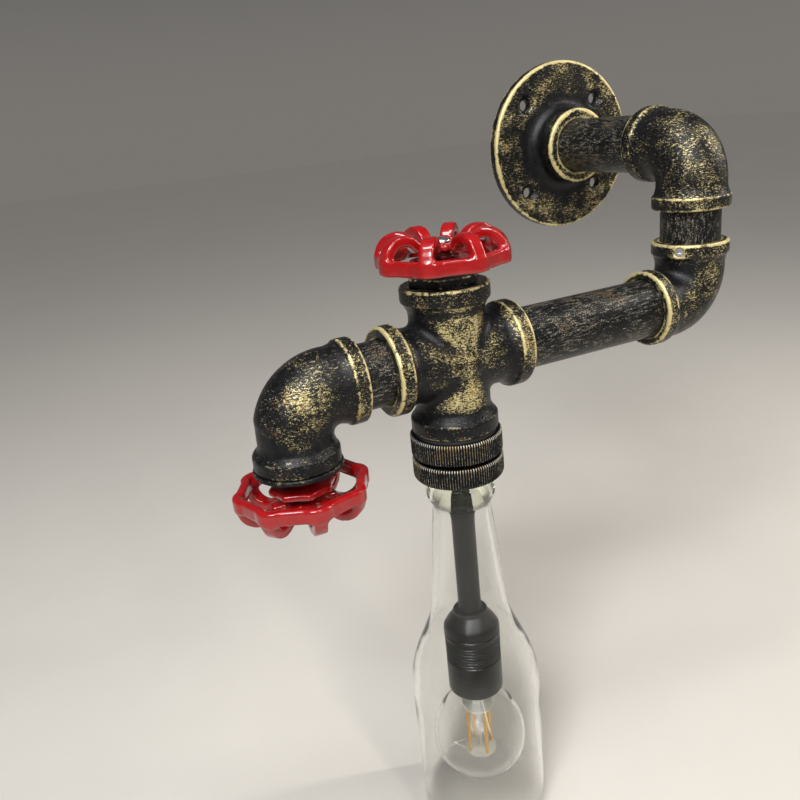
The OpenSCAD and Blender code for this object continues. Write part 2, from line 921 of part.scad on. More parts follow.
module mouth_gasket() {
    color(black)
        at_lamp()
            ring(mouth_clear_r - seat_gap, mouth_d / 2, gasket_foot, web_foot);
}

module grip_ring() {
    color(black)
        at_lamp()
            ring(clamp_thread_r - face_gap, neck_groove_d / 2 + seat_gap, grip_foot, grip_top);
}

// Glass bottle with its base cut off: bead, groove, collar, neck, shoulder and body
module bottle_glass() {
    mouth_r = mouth_d / 2;
    color(clear_glass, 0.4)
        at_lamp()
            rotate_extrude()
                polygon(concat(
                    [
                        [mouth_r, mouth_top],
                        [bead_d / 2, mouth_top],
                        [bead_d / 2, bead_foot],
                        [neck_groove_d / 2, bead_foot],
                        [neck_groove_d / 2, groove_foot],
                        [collar_d / 2, groove_foot - collar_slope],
                        [collar_d / 2, collar_foot],
                        [neck_d / 2, neck_top]
                    ],
                    shoulder_points(0),
                    [
                        [body_d / 2, bottle_foot],
                        [body_d / 2 - glass_t, bottle_foot]
                    ],
                    reversed(shoulder_points(glass_t)),
                    [
                        [neck_d / 2 - glass_t, neck_top],
                        [mouth_r, collar_foot]
                    ]
                ));
}

module lamp_tube() {
    color(black)
        at_lamp()
            ring(tube_r, tube_bore / 2, tube_foot, tube_top);
}

// Hexagon nuts above and below the adapter's web
module tube_nuts() {
    color(brass)
        at_lamp()
            for (foot = [clamp_seat, web_foot - nut_t])
                translate([0, 0, foot])
                    difference() {
                        cylinder(d = nut_af / cos(30), h = nut_t, $fn = 6);
                        translate([0, 0, -cut])
                            cylinder(r = tube_r + seat_gap, h = nut_t + 2 * cut);
                    }
}

module tube_sleeve() {
    color(black)
        at_lamp() {
            ring(sleeve_r, tube_r + seat_gap, holder_top, sleeve_top - lip_len);
            ring(sleeve_r + sleeve_lip_t, tube_r + seat_gap, sleeve_top - lip_len, sleeve_top);
        }
}

// Domed cap, screwed on the tube
module lampholder_cap() {
    boss_r = tube_r + 2 * holder_wall;
    color(black)
        at_lamp()
            difference() {
                rotate_extrude()
                    polygon([
                        [0, skirt_top],
                        [holder_r, skirt_top],
                        [holder_r, skirt_top + holder_cap_h / 3],
                        [holder_r - holder_cap_h / 4, skirt_top + 2 * holder_cap_h / 3],
                        [boss_r, holder_top - holder_wall],
                        [boss_r, holder_top],
                        [0, holder_top]
                    ]);
                translate([0, 0, skirt_top - cut])
                    cylinder(d = tube_bore, h = holder_cap_h + 2 * cut);
                translate([0, 0, tube_foot])
                    cylinder(r = tube_r + seat_gap, h = holder_cap_h);
            }
}

module lampholder_skirt() {
    color(black)
        at_lamp()
            ring(holder_r, holder_r - holder_wall, skirt_foot, skirt_top);
}

// Ceramic insert with the pocket for the brass shell
module lampholder_core() {
    color(ceramic)
        at_lamp()
            difference() {
                translate([0, 0, skirt_foot + holder_wall])
                    cylinder(r = holder_r - holder_wall - seat_gap, h = core_top - skirt_foot - holder_wall);
                translate([0, 0, skirt_foot])
                    cylinder(r = shell_r + shell_wall + seat_gap, h = bulb_cap_h);
            }
}

module lampholder_shell() {
    color(brass)
        at_lamp()
            ring(shell_r + shell_wall, shell_r, skirt_foot + holder_wall, bulb_cap_top);
}

module bulb_cap() {
    color(silver)
        at_lamp()
            translate([0, 0, skirt_foot]) {
                cylinder(d = bulb_cap_d, h = bulb_cap_h - bulb_tip_h);
                translate([0, 0, bulb_cap_h - bulb_tip_h])
                    cylinder(d1 = bulb_cap_d, d2 = bulb_tip_d, h = bulb_tip_h);
            }
}

module bulb_glass() {
    color(clear_glass, 0.35)
        at_lamp()
            rotate_extrude()
                polygon(concat(
                    [[bulb_neck_r - bulb_glass_t, skirt_foot], [bulb_neck_r, skirt_foot]],
                    bulb_points(0),
                    reversed(bulb_points(bulb_glass_t))
                ));
}

// Light strips between two end plates, on a mast and a stem
module bulb_strips() {
    stem_foot = skirt_foot - stem_len;
    strip_foot = stem_foot - strip_len;
    plate_r = strip_out + strip_d;
    color(brass)
        at_lamp() {
            translate([0, 0, stem_foot])
                cylinder(d = stem_d, h = stem_len);
            translate([0, 0, strip_foot])
                cylinder(d = strip_d, h = strip_len);
            for (foot = [stem_foot, strip_foot - strip_d])
                translate([0, 0, foot])
                    cylinder(r = plate_r, h = strip_d);
            for (i = [0:strip_count - 1])
                rotate([0, 0, 360 * i / strip_count])
                    translate([strip_out, 0, strip_foot])
                        cylinder(d = strip_d, h = strip_len);
        }
}

wall_flange();
wall_nipple();
wall_elbow();
swivel_tube();
terminal_block();
wall_cable();
arm_elbow();
swivel_screws();
arm_pipe();
cross_fitting();
end_nipple();
end_elbow();
top_plug();
end_plug();
bottle_adapter();
seal_washer();
lock_ring();
mouth_gasket();
lamp_tube();
tube_nuts();
tube_sleeve();
lampholder_cap();
lampholder_skirt();
lampholder_core();
lampholder_shell();
bulb_cap();
bulb_glass();
bulb_strips();
arm_cable();
top_spindle();
top_clip();
top_handwheel();
top_screw();
end_spindle();
end_clip();
end_handwheel();
end_screw();
bottle_glass();
grip_ring();
clamp_ring();
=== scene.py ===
"""Looks of the pipe wall light: castings, pipes, handwheels, knurled rings, bottle and lamp."""

import math

import bmesh
import bpy
import numpy as np
from bpy.props import FloatProperty, FloatVectorProperty, IntProperty, PointerProperty
from mathutils import Matrix, Vector


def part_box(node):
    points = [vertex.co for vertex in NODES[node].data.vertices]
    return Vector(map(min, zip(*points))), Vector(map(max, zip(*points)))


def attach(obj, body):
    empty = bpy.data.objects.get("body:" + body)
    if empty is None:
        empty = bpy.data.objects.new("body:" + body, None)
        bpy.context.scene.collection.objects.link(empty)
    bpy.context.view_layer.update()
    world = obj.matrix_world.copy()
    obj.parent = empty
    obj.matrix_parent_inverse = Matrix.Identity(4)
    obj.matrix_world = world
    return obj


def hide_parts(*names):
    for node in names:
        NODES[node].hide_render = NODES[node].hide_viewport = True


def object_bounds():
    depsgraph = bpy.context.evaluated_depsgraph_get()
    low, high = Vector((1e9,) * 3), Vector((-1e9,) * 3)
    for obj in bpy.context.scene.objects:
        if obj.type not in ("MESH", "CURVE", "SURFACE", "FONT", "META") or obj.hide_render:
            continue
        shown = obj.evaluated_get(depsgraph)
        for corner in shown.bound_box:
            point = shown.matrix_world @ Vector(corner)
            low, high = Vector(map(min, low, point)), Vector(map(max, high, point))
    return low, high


bl_info = {
    "name": "Pipe wall light",
    "version": (1, 0, 0),
    "blender": (4, 5, 0),
    "location": "View3D > Sidebar > Wall light",
    "description": "Builds the looks of a wall light of pipe fittings around its packed solids",
    "category": "Object",
}

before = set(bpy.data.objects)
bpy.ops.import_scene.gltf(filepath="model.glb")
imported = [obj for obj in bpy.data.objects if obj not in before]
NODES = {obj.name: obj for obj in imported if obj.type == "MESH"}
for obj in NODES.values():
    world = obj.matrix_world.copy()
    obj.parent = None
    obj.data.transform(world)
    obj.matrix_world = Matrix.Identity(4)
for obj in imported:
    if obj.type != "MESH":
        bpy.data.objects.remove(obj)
CAD_BOX = [list(corner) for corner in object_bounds()]
MM = 0.001


def middle(node):
    """The middle of a node's box."""
    low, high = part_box(node)
    return (low + high) / 2


LAMP = middle("lamp_tube")
LAMP_AXIS = Vector((LAMP.x, LAMP.y, 0))
SWIVEL = middle("swivel_tube")
CROSS = middle("cross_fitting")
END = middle("end_plug")

# Side of the castings that got the most gold, and the side toward the key light, whose worn edges are
# painted brighter as painted highlight
BRUSHED_SIDE = np.array(Vector((-0.40, -0.87, 0.28)).normalized())
LIT_SIDE = np.array(Vector((-0.30, -0.60, 0.74)).normalized())

# The ways that the legs of each fitting point
LEGS = {
    "cross_fitting": ("+X", "-X", "+Z", "-Z"),
    "end_elbow": ("+X", "-Z"),
    "arm_elbow": ("-X", "+Z"),
    "wall_elbow": ("+Y", "-Z"),
}

# Distances from a leg's end: where its band, and the crisp neck before the band, begin and are whole
BAND_BEGINS, BAND_WHOLE = 6.8 * MM, 6.2 * MM
NECK_BEGINS, NECK_WHOLE = 11 * MM, 9 * MM

# Steps of relaxing, which say how wide a neighbourhood a casting's point is compared with
NEAR, WIDE, BROAD = 8, 24, 70

PIPE_WALL = 2.6 * MM
PIPE_CHAMFER = 0.6 * MM
PLUG_VOXEL = 0.4 * MM
PLATE_VOXEL = 0.65 * MM
TUBE_BORE = 3.6 * MM

# Bottle profiles: radius and depth below the arm's axis, in mm
BOTTLE_COLLAR = (
    (12.0, 53.4), (12.8, 54.3), (14.5, 56.0), (15.15, 58.2), (15.2, 60.5),
    (15.0, 62.6), (14.0, 64.8), (13.15, 66.2), (12.95, 68.5),
)
BOTTLE_SHOULDER = (
    (13.1, 70), (14.0, 80), (15.3, 94), (16.6, 108), (17.35, 116), (18.0, 121.5),
    (19.9, 128), (23.0, 135.5), (26.6, 144), (29.2, 152), (30.3, 159.5), (30.5, 166),
)
BOTTLE_INSIDE = (
    (27.9, 185), (27.9, 168), (27.5, 160), (26.5, 152.5), (24.0, 144.5), (20.6, 136),
    (17.4, 127), (15.5, 120), (14.7, 114), (13.7, 106), (12.3, 92), (11.1, 80),
    (10.3, 71), (9.6, 66), (9.05, 61), (9.0, 54),
)
COLLAR_FOOT = 68 * MM

# Camera, from the cross's centre
CAMERA_PLACE = Vector((-0.14852, -0.27773, 0.0968))
CAMERA_FORWARD = Vector((0.38338, 0.85856, -0.34043))
CAMERA_UP = Vector((0.23349, 0.26653, 0.93512))
FLOOR_GAP = 12 * MM

# Lights: name, place, size, share of the key light's power, tint
LIGHTS = (
    ("key", (-0.6, -0.62, 0.62), (0.3, 0.3), 1.0, (0.94, 0.97, 1.0)),
    ("front", (-0.1, -1.0, 0.42), (0.09, 0.5), 0.36, (1.0, 0.97, 0.92)),
    ("right", (0.75, -0.35, 0.4), (0.045, 0.6), 0.5, (1.0, 0.94, 0.86)),
    ("above", (-0.2, -0.25, 0.8), (0.6, 0.12), 0.5, (0.97, 0.98, 1.0)),
)
SUN_PLACE = (-0.5, -0.62, 0.75)


# Settings that a user would change


def colour(name, description, default):
    """A colour property."""
    return FloatVectorProperty(
        name=name, description=description, subtype="COLOR", size=3, min=0, max=1, default=default
    )


def share(name, description, default):
    """A property from 0 to 1."""
    return FloatProperty(
        name=name, description=description, subtype="FACTOR", min=0, max=1, default=default
    )


def length(name, description, default):
    """A length in metres."""
    return FloatProperty(
        name=name, description=description, unit="LENGTH", min=0, precision=5, default=default
    )


class IronSettings(bpy.types.PropertyGroup):
    """Finish of the castings and pipes."""

    charcoal: colour("Charcoal", "Colour of the blackened iron", (0.0042, 0.0042, 0.0046))
    gold: colour("Gold", "Colour of the brushed gold", (0.6, 0.5, 0.24))
    # Pale specks in this colour are thin brushing and also stand in for glints: partly painted highlight
    silver_and_glint: colour("Silver", "Colour of the thinnest brushing", (0.46, 0.43, 0.34))
    brown: colour("Brown gold", "Colour of the thin, old gold", (0.25, 0.14, 0.045))
    brushing: share("Brushing", "How much gold is brushed on the castings", 0.5)
    grain: length("Grain", "Size of the gold specks", 0.6 * MM)
    voxel: length("Casting mesh", "Mesh size of the castings", 0.52 * MM)


class EnamelSettings(bpy.types.PropertyGroup):
    """Finish of the handwheels."""

    red: colour("Red", "Colour of the enamel", (0.25, 0.001, 0.0018))
    roughness: share("Roughness", "Roughness under the gloss coat", 0.28)
    voxel: length("Handwheel mesh", "Mesh size of the handwheels", 0.42 * MM)


class KnurlSettings(bpy.types.PropertyGroup):
    """Knurling of the two rings."""

    ridges: IntProperty(name="Ridges", description="Ridges around a ring", min=20, max=200, default=108)
    depth: length("Depth", "Depth of the knurling", 0.5 * MM)


class GlassSettings(bpy.types.PropertyGroup):
    """Glass of the bottle and the bulb."""

    tint: colour("Tint", "Tint of the glass", (0.982, 0.988, 0.974))
    collar: colour("Collar", "Tint of the thick glass at the collar", (0.93, 0.95, 0.82))
    ior: FloatProperty(name="IOR", description="Refraction of the glass", min=1, max=2, default=1.31)


class StageSettings(bpy.types.PropertyGroup):
    """Floor, light and camera."""

    floor: colour("Floor", "Colour of the floor", (0.58, 0.545, 0.49))
    key_power: FloatProperty(
        name="Key light", description="Power of the key light", unit="POWER", min=0, default=9
    )
    sun_strength: FloatProperty(
        name="Sun", description="Strength of the light that reaches the whole floor", min=0, default=1.15
    )
    focal: FloatProperty(name="Lens", description="Focal length in mm", min=10, max=200, default=35.68)


class WallLightSettings(bpy.types.PropertyGroup):
    """All settings of the wall light."""

    iron: PointerProperty(type=IronSettings, name="Iron", description="Castings and pipes")
    enamel: PointerProperty(type=EnamelSettings, name="Enamel", description="Handwheels")
    knurl: PointerProperty(type=KnurlSettings, name="Knurl", description="Knurled rings")
    glass: PointerProperty(type=GlassSettings, name="Glass", description="Bottle and bulb")
    stage: PointerProperty(type=StageSettings, name="Stage", description="Floor, light, camera")


def settings():
    """The settings of this scene."""
    return bpy.context.scene.wall_light


# Node trees as expressions


class Wire:
    """A socket of a node tree that takes part in Python expressions."""

    def __init__(self, tree, socket=None):
        self.tree = tree
        self.socket = socket

    def node(self, kind, settings=None, inputs=None, out=0):
        """Adds a node, sets it up, fills or links its sockets and returns one of its outputs."""
        made = self.tree.nodes.new(kind)
        for key, value in (settings or {}).items():
            setattr(made, key, value)
        for key, value in (inputs or {}).items():
            if isinstance(value, Wire):
                self.tree.links.new(value.socket, made.inputs[key])
            else:
                made.inputs[key].default_value = value
        return Wire(self.tree, made.outputs[out])

    def math(self, operation, *terms):
        """A Math node on values."""
        return self.node("ShaderNodeMath", {"operation": operation}, dict(enumerate(terms)))

    def __add__(self, other):
        return self.math("ADD", self, other)

    __radd__ = __add__

    def __sub__(self, other):
        return self.math("SUBTRACT", self, other)

    def __rsub__(self, other):
        return self.math("SUBTRACT", other, self)

    def __mul__(self, other):
        return self.math("MULTIPLY", self, other)

    __rmul__ = __mul__

    def __truediv__(self, other):
        return self.math("DIVIDE", self, other)

    def __rtruediv__(self, other):
        return self.math("DIVIDE", other, self)

    def step(self, low, high):
        """0 below low, 1 above high and a smooth rise between."""
        return self.node(
            "ShaderNodeMapRange",
            {"interpolation_type": "SMOOTHSTEP"},
            {0: self, 1: low, 2: high, 3: 0.0, 4: 1.0},
        )

    def most(self, other):
        return self.math("MAXIMUM", self, other)

    def noise(self, size, detail=2.0, rough=0.5, stretch=(1, 1, 1)):
        """Noise of a feature size in metres on this vector."""
        vector = self.node("ShaderNodeVectorMath", {"operation": "MULTIPLY"}, {0: self, 1: stretch})
        return self.node(
            "ShaderNodeTexNoise",
            {"noise_dimensions": "3D"},
            {"Vector": vector, "Scale": 1 / size, "Detail": detail, "Roughness": rough},
        )

    def mix(self, a, b):
        """Colour a where this value is 0 and b where it is 1."""
        return self.node(
            "ShaderNodeMix", {"data_type": "RGBA", "clamp_factor": True}, {0: self, 6: a, 7: b}, out=2
        )

    def bump(self, strength, distance):
        """A normal bumped by this height."""
        return self.node(
            "ShaderNodeBump", None, {"Strength": strength, "Distance": distance, "Height": self}
        )


def rgba(colour):
    return (*colour, 1.0)


class Finish:
    """A new material with one shader, and the places on it to draw patterns from."""

    def __init__(self, name):
        self.material = bpy.data.materials.new(name + "_finish")
        self.material.use_nodes = True
        tree = self.material.node_tree
        self.shader = tree.nodes["Principled BSDF"]
        self.tree = Wire(tree)
        self.place = self.tree.node("ShaderNodeTexCoord", out="Object")

    def attribute(self, name):
        return self.tree.node("ShaderNodeAttribute", {"attribute_name": name}, out="Fac")

    def set(self, **values):
        """Sets or links the shader's sockets; underscores stand for spaces."""
        for key, value in values.items():
            socket = self.shader.inputs[key.replace("_", " ")]
            if isinstance(value, Wire):
                self.tree.tree.links.new(value.socket, socket)
            else:
                socket.default_value = value
        return self.material


def iron_finish(name, body_share, edge_share):
    """Blackened cast iron with dry-brushed gold specks, pale specks that stand in for glints as painted
    highlight, and worn edges painted brighter towards the key light as painted highlight.
    """
    s = settings().iron
    f = Finish(name)
    fine = f.place.noise(s.grain, 3.0, 0.7, (0.45, 0.45, 1.0))
    tiny = f.place.noise(s.grain * 0.5, 2.0, 0.6)
    speck = f.place.noise(s.grain * 3, 2.0, 0.5)
    patch = f.place.noise(8 * MM, 2.0, 0.5)
    brushed = f.attribute("brush") * (body_share * s.brushing)
    # Gold on the edges: wear, painted brighter towards the key light as painted highlight
    wear_and_highlight = f.attribute("wear_and_highlight") * edge_share
    level = 0.68 - 0.17 * brushed - 0.3 * (patch - 0.5)
    gold = (fine * 0.55 + tiny * 0.45).step(level - 0.04, level + 0.05)
    worn_and_lit = (wear_and_highlight + (speck - 0.5) * 1.1 + (tiny - 0.5) * 0.9 + (patch - 0.5) * 0.9).step(0.42, 0.72)
    cover = gold.most(worn_and_lit)
    age = (patch * 0.5 + speck * 0.5 - 0.12 * wear_and_highlight - 0.05 * brushed).step(0.5, 0.66)
    # Specks where little gold was brushed are pale, standing in for glints as painted highlight
    gold_and_glint = brushed.most(wear_and_highlight).step(0.15, 0.5).mix(rgba(s.silver_and_glint), rgba(s.gold))
    metal = age.mix(gold_and_glint, rgba(s.brown))
    dust = f.place.noise(3 * MM, 3.0, 0.6).step(0.35, 0.75)
    black = dust.mix(rgba(s.charcoal), rgba([c * 2.2 for c in s.charcoal]))
    height = fine * 0.4 + tiny * 0.35 + speck * 0.25
    f.set(Specular_IOR_Level=0.18)
    return f.set(
        Base_Color=(cover * 0.95).mix(black, metal),
        Metallic=cover * 0.45,
        Roughness=0.22 + 0.16 * speck + cover * 0.14,
        Normal=height.bump(0.85, 0.3 * MM),
    )


def pipe_finish(name, axis):
    """Blackened pipe whose gold lies in fine specks and short streaks along it, pale in places where the
    specks also stand in for glints as painted highlight.
    """
    stretch = [1.0, 1.0, 1.0]
    stretch["XYZ".index(axis)] = 0.2
    s = settings().iron
    f = Finish(name)
    streak = f.place.noise(0.8 * MM, 3.0, 0.65, stretch)
    fine = f.place.noise(0.45 * MM, 2.0, 0.6)
    patch = f.place.noise(13 * MM, 2.0, 0.5)
    gold = (streak * 0.5 + fine * 0.5 + 0.2 * (patch - 0.5)).step(0.53, 0.62)
    metal = (patch * 0.5 + streak * 0.5).step(0.54, 0.66).mix(rgba(s.silver_and_glint), rgba(s.brown))
    f.set(Specular_IOR_Level=0.22)
    return f.set(
        Base_Color=(gold * 0.6).mix(rgba(s.charcoal), metal),
        Metallic=gold * 0.4,
        Roughness=0.25 + 0.2 * streak,
        Normal=(streak * 0.6 + fine * 0.4).bump(0.7, 0.22 * MM),
    )


def knurl_finish(name):
    """Bronze-black with bright, broken metal along the ridges and at their upper tips: partly wear, partly
    painted highlight.
    """
    f = Finish(name)
    patch = f.place.noise(9 * MM, 2.0, 0.55)
    fine = f.place.noise(0.8 * MM, 3.0, 0.6)
    # Bright metal on the ridge crests and more at the upper tips: wear and painted highlight
    crest_wear_and_highlight = f.attribute("ridge") * (0.85 + 0.5 * f.attribute("tip"))
    worn_and_lit = (crest_wear_and_highlight + (fine - 0.5) * 0.9 + (patch - 0.5) * 0.8).step(0.62, 1.2)
    metal = patch.step(0.48, 0.62).mix(rgba((0.6, 0.55, 0.45)), rgba((0.36, 0.27, 0.15)))
    rust = (patch * 0.7 + fine * 0.3).step(0.56, 0.72)
    black = (rust * 0.6).mix(rgba((0.0032, 0.003, 0.003)), rgba((0.018, 0.008, 0.004)))
    f.set(Specular_IOR_Level=0.15)
    return f.set(
        Base_Color=worn_and_lit.mix(black, metal),
        Metallic=worn_and_lit * 0.35,
        Roughness=0.36 + 0.14 * fine,
        Normal=fine.bump(0.3, 0.08 * MM),
    )


def enamel_finish(name):
    """Thick glossy red enamel with a faint ripple, darkened in its hollows as painted shade."""
    s = settings().enamel
    f = Finish(name)
    ripple = f.place.noise(5 * MM, 2.0, 0.5)
    # Hollows are darkened: painted shade
    hollow = f.attribute("hollow").step(0.05, 0.7)
    shaded_red = [c * 0.4 for c in s.red]
    pale = [min(1.0, c * 1.12 + 0.004) for c in s.red]
    body = ripple.step(0.35, 0.7).mix(rgba(s.red), rgba(pale))
    f.set(Coat_IOR=1.5, Coat_Roughness=0.03, Specular_IOR_Level=0.2)
    return f.set(
        Base_Color=hollow.mix(body, rgba(shaded_red)),
        Roughness=s.roughness + 0.05 * ripple,
        Coat_Weight=0.9,
        Normal=ripple.bump(0.12, 0.35 * MM),
    )


def glass_finish(name, tint_share, thick_above=None):
    """Clear glass with faint waves, greener where it is thick."""
    s = settings().glass
    f = Finish(name)
    wave = f.place.noise(14 * MM, 1.0, 0.4, (1, 1, 0.35))
    tint = [1 - (1 - c) * tint_share for c in s.tint]
    f.set(Transmission_Weight=1.0, IOR=s.ior, Roughness=0.0)
    body = wave.step(0.3, 0.7).mix(rgba(tint), rgba([c * 0.995 for c in tint]))
    if thick_above is not None:
        height = f.place.node("ShaderNodeSeparateXYZ", None, {0: f.place}, out=2)
        body = height.step(thick_above, thick_above + 4 * MM).mix(body, rgba(s.collar))
    return f.set(Base_Color=body, Normal=wave.bump(0.05, 0.5 * MM))


def plain_finish(name, base, size, rough, metallic=0.0, vary=0.25, bump=0.15, gloss=0.5):
    """A plain surface with fine unevenness."""
    f = Finish(name)
    grain = f.place.noise(size, 3.0, 0.6)
    blotch = f.place.noise(size * 9, 2.0, 0.5)
    light = [min(1.0, c * (1 + vary)) for c in base]
    dark = [c * (1 - vary) for c in base]
    f.set(Metallic=metallic, Specular_IOR_Level=gloss)
    return f.set(
        Base_Color=(grain * 0.4 + blotch * 0.6).step(0.3, 0.7).mix(rgba(dark), rgba(light)),
        Roughness=rough + 0.12 * (grain - 0.5),
        Normal=grain.bump(bump, size * 0.2),
    )


def steel_finish(name):
    """Bright zinc-plated steel with fine turning marks."""
    f = Finish(name)
    marks = f.place.noise(0.5 * MM, 2.0, 0.6, (1, 1, 3))
    blotch = f.place.noise(3 * MM, 2.0, 0.5)
    f.set(Metallic=1.0)
    return f.set(
        Base_Color=blotch.step(0.3, 0.7).mix(rgba((0.62, 0.63, 0.65)), rgba((0.8, 0.8, 0.8))),
        Roughness=0.2 + 0.14 * marks,
        Normal=marks.bump(0.1, 0.05 * MM),
    )


# Each finish's maker and what it is given
FINISHES = {
    "cast_iron": (iron_finish, 1.4, 1.0),
    "plug_iron": (iron_finish, 0.4, 0.6),
    "plate_iron": (iron_finish, 1.3, 1.0),
    "pipe_iron_x": (pipe_finish, "X"),
    "pipe_iron_y": (pipe_finish, "Y"),
    "pipe_iron_z": (pipe_finish, "Z"),
    "knurled_iron": (knurl_finish,),
    "red_enamel": (enamel_finish,),
    "bottle_glass": (glass_finish, 1.0, CROSS.z - COLLAR_FOOT),
    "bulb_glass": (glass_finish, 0.3),
    "bright_steel": (steel_finish,),
    "black_tube": (plain_finish, (0.006, 0.0055, 0.005), 0.6 * MM, 0.4, 0.0, 0.25, 0.15, 0.25),
    "black_sleeve": (plain_finish, (0.008, 0.007, 0.006), 1.1 * MM, 0.46, 0.0, 0.25, 0.15, 0.25),
    "black_plastic": (plain_finish, (0.008, 0.008, 0.008), 0.5 * MM, 0.36, 0.0, 0.25, 0.15, 0.35),
    "brass": (plain_finish, (0.62, 0.43, 0.15), 0.5 * MM, 0.28, 1.0, 0.12, 0.08),
    "ceramic": (plain_finish, (0.72, 0.69, 0.62), 0.9 * MM, 0.22, 0.0, 0.05, 0.05),
    "amber_strip": (plain_finish, (0.72, 0.4, 0.08), 0.5 * MM, 0.5, 0.0, 0.15),
    "rubber": (plain_finish, (0.014, 0.014, 0.014), 0.4 * MM, 0.72),
    "cable": (plain_finish, (0.016, 0.016, 0.017), 0.6 * MM, 0.5),
}


def finish_named(name):
    """A material made once and then shared."""
    made = bpy.data.materials.get(name + "_finish")
    if made is None:
        maker, *values = FINISHES[name]
        made = maker(name, *values)
    return made


# Mesh helpers


def put(name, data):
    """A new object in the scene."""
    thing = bpy.data.objects.new(name, data)
    bpy.context.scene.collection.objects.link(thing)
    return thing


def mesh_from(bm, name):
    """A finished mesh from a bmesh, which is freed."""
    mesh = bpy.data.meshes.new(name)
    bm.to_mesh(mesh)
    bm.free()
    return mesh


def upright(node):
    """Foot, top and radius of a node that stands upright."""
    low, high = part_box(node)
    return low.z, high.z, (high.x - low.x) / 2


def smoothstep(values, low, high):
    t = np.clip((values - low) / (high - low), 0, 1)
    return t * t * (3 - 2 * t)


def read(collection, key, count, width, kind=np.float32):
    """One row of numbers for each item of a mesh's collection."""
    values = np.empty(count * width, kind)
    collection.foreach_get(key, values)
    return values.reshape(-1, width)


def points_of(mesh):
    return read(mesh.vertices, "co", len(mesh.vertices), 3).astype(float)


def normals_of(mesh):
    return read(mesh.vertex_normals, "vector", len(mesh.vertices), 3).astype(float)


def edges_of(mesh):
    return read(mesh.edges, "vertices", len(mesh.edges), 2, np.int32)


def set_points(mesh, co):
    mesh.vertices.foreach_set("co", co.astype(np.float32).ravel())
    mesh.update()


def mark(mesh, name, values):
    """Keeps one number for each point of a mesh."""
    layer = mesh.attributes.get(name) or mesh.attributes.new(name, "FLOAT", "POINT")
    layer.data.foreach_set("value", np.asarray(values, np.float32))


def relax(values, edges, steps, weight=None):
    """Each point moves half-way to the mean of its neighbours, for a number of steps."""
    count = len(values)
    a, b = edges[:, 0], edges[:, 1]
    ends = np.concatenate([a, b])
    others = np.concatenate([b, a])
    degree = np.maximum(np.bincount(ends, minlength=count), 1)[:, None]
    rate = 0.5 if weight is None else 0.5 * weight[:, None]
    flat = values.reshape(count, -1).astype(float)
    for _ in range(steps):
        near = flat[others]
        mean = np.stack(
            [np.bincount(ends, near[:, k], count) for k in range(flat.shape[1])], axis=1
        ) / degree
        flat = flat + rate * (mean - flat)
    return flat.reshape(values.shape)


def merged_copy(node):
    """A copy of a node's mesh with its corners joined."""
    bm = bmesh.new()
    bm.from_mesh(NODES[node].data)
    bmesh.ops.remove_doubles(bm, verts=bm.verts, dist=0.002 * MM)
    return mesh_from(bm, node)


def applied(thing):
    """The mesh of an object after its modifiers; the object is removed."""
    deps = bpy.context.evaluated_depsgraph_get()
    done = bpy.data.meshes.new_from_object(thing.evaluated_get(deps))
    thing.modifiers.clear()
    bpy.data.objects.remove(thing)
    return done


def modified(mesh, kind, **values):
    """A mesh after one modifier."""
    thing = put("work", mesh)
    made = thing.modifiers.new(kind.lower(), kind)
    for key, value in values.items():
        setattr(made, key, value)
    return applied(thing)


def proud(co, edges, normals, steps):
    """How far each point stands out of its neighbourhood, which grows with the steps."""
    return ((co - relax(co, edges, steps)) * normals).sum(axis=1)


def bands_of(node, co):
    """1 at the end bands of a fitting's legs and 0 elsewhere, and the same with the necks before them."""
    neck = np.zeros(len(co))
    band = np.zeros(len(co))
    for sign, axis in LEGS.get(node, ()):
        along = co[:, "XYZ".index(axis)] * (1 if sign == "+" else -1)
        end = along.max()
        neck = np.maximum(neck, smoothstep(along, end - NECK_BEGINS, end - NECK_WHOLE))
        band = np.maximum(band, smoothstep(along, end - BAND_BEGINS, end - BAND_WHOLE))
    return neck, band


def waisted(co, foot):
    """The end elbow's points with a slimmer neck above its lower band, so the band stands out."""
    out = co[:, :2] - np.array((END.x, END.y))
    rise = co[:, 2] - foot
    slimness = 0.062 * smoothstep(rise, 6.6 * MM, 8.2 * MM) * (1 - smoothstep(rise, 13 * MM, 27 * MM))
    slimness *= smoothstep(np.hypot(out[:, 0], out[:, 1]), 14.2 * MM, 15.2 * MM)
    slimness *= 1 - smoothstep(out[:, 0], 7 * MM, 13 * MM)
    slim = co.copy()
    slim[:, :2] -= out * slimness[:, None]
    return slim


def cast_mesh(node, voxel, fillet, soften, reach=160):
    """A node's solid as a casting with filled hollows, soft edges and marks for its finish."""
    mesh = modified(merged_copy(node), "REMESH", mode="VOXEL", voxel_size=voxel)
    edges = edges_of(mesh)
    co = points_of(mesh)
    low, high = (np.array(c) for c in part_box(node))
    neck, band = bands_of(node, co)
    fill = smoothstep(-proud(co, edges, normals_of(mesh), WIDE), 0.03 * MM, 0.22 * MM)
    fill = np.clip(relax(fill, edges, NEAR) * 1.5, 0, 1)
    co = relax(co, edges, fillet, fill * (1 - neck))
    co = relax(co, edges, 2, fill)
    co = np.clip(relax(co, edges, soften), low, high)
    if node == "end_elbow":
        co = waisted(co, low[2])
    set_points(mesh, co)
    mark_finish(mesh, node, co, edges, neck, band, reach)
    return mesh


def gold_share(node, co, normals):
    """How much gold a fitting carries at each point, beside what its shape gives."""
    if node == "cross_fitting":
        aside, rise = np.abs(co[:, 0] - CROSS.x), co[:, 2] - CROSS.z
        share = 1.75 - 0.55 * smoothstep(aside, 8 * MM, 15 * MM)
        share *= 1 - 0.4 * np.exp(-((rise / (8 * MM)) ** 2))
        return share * (1 + 0.3 * smoothstep(rise, 4 * MM, 12 * MM))
    if node == "end_elbow":
        share = 1.15 - 0.45 * smoothstep(co[:, 0] - END.x, 7 * MM, 17 * MM)
        return share * (1 - 0.75 * smoothstep(-normals[:, 0], 0.3, 0.8))
    return 1.0


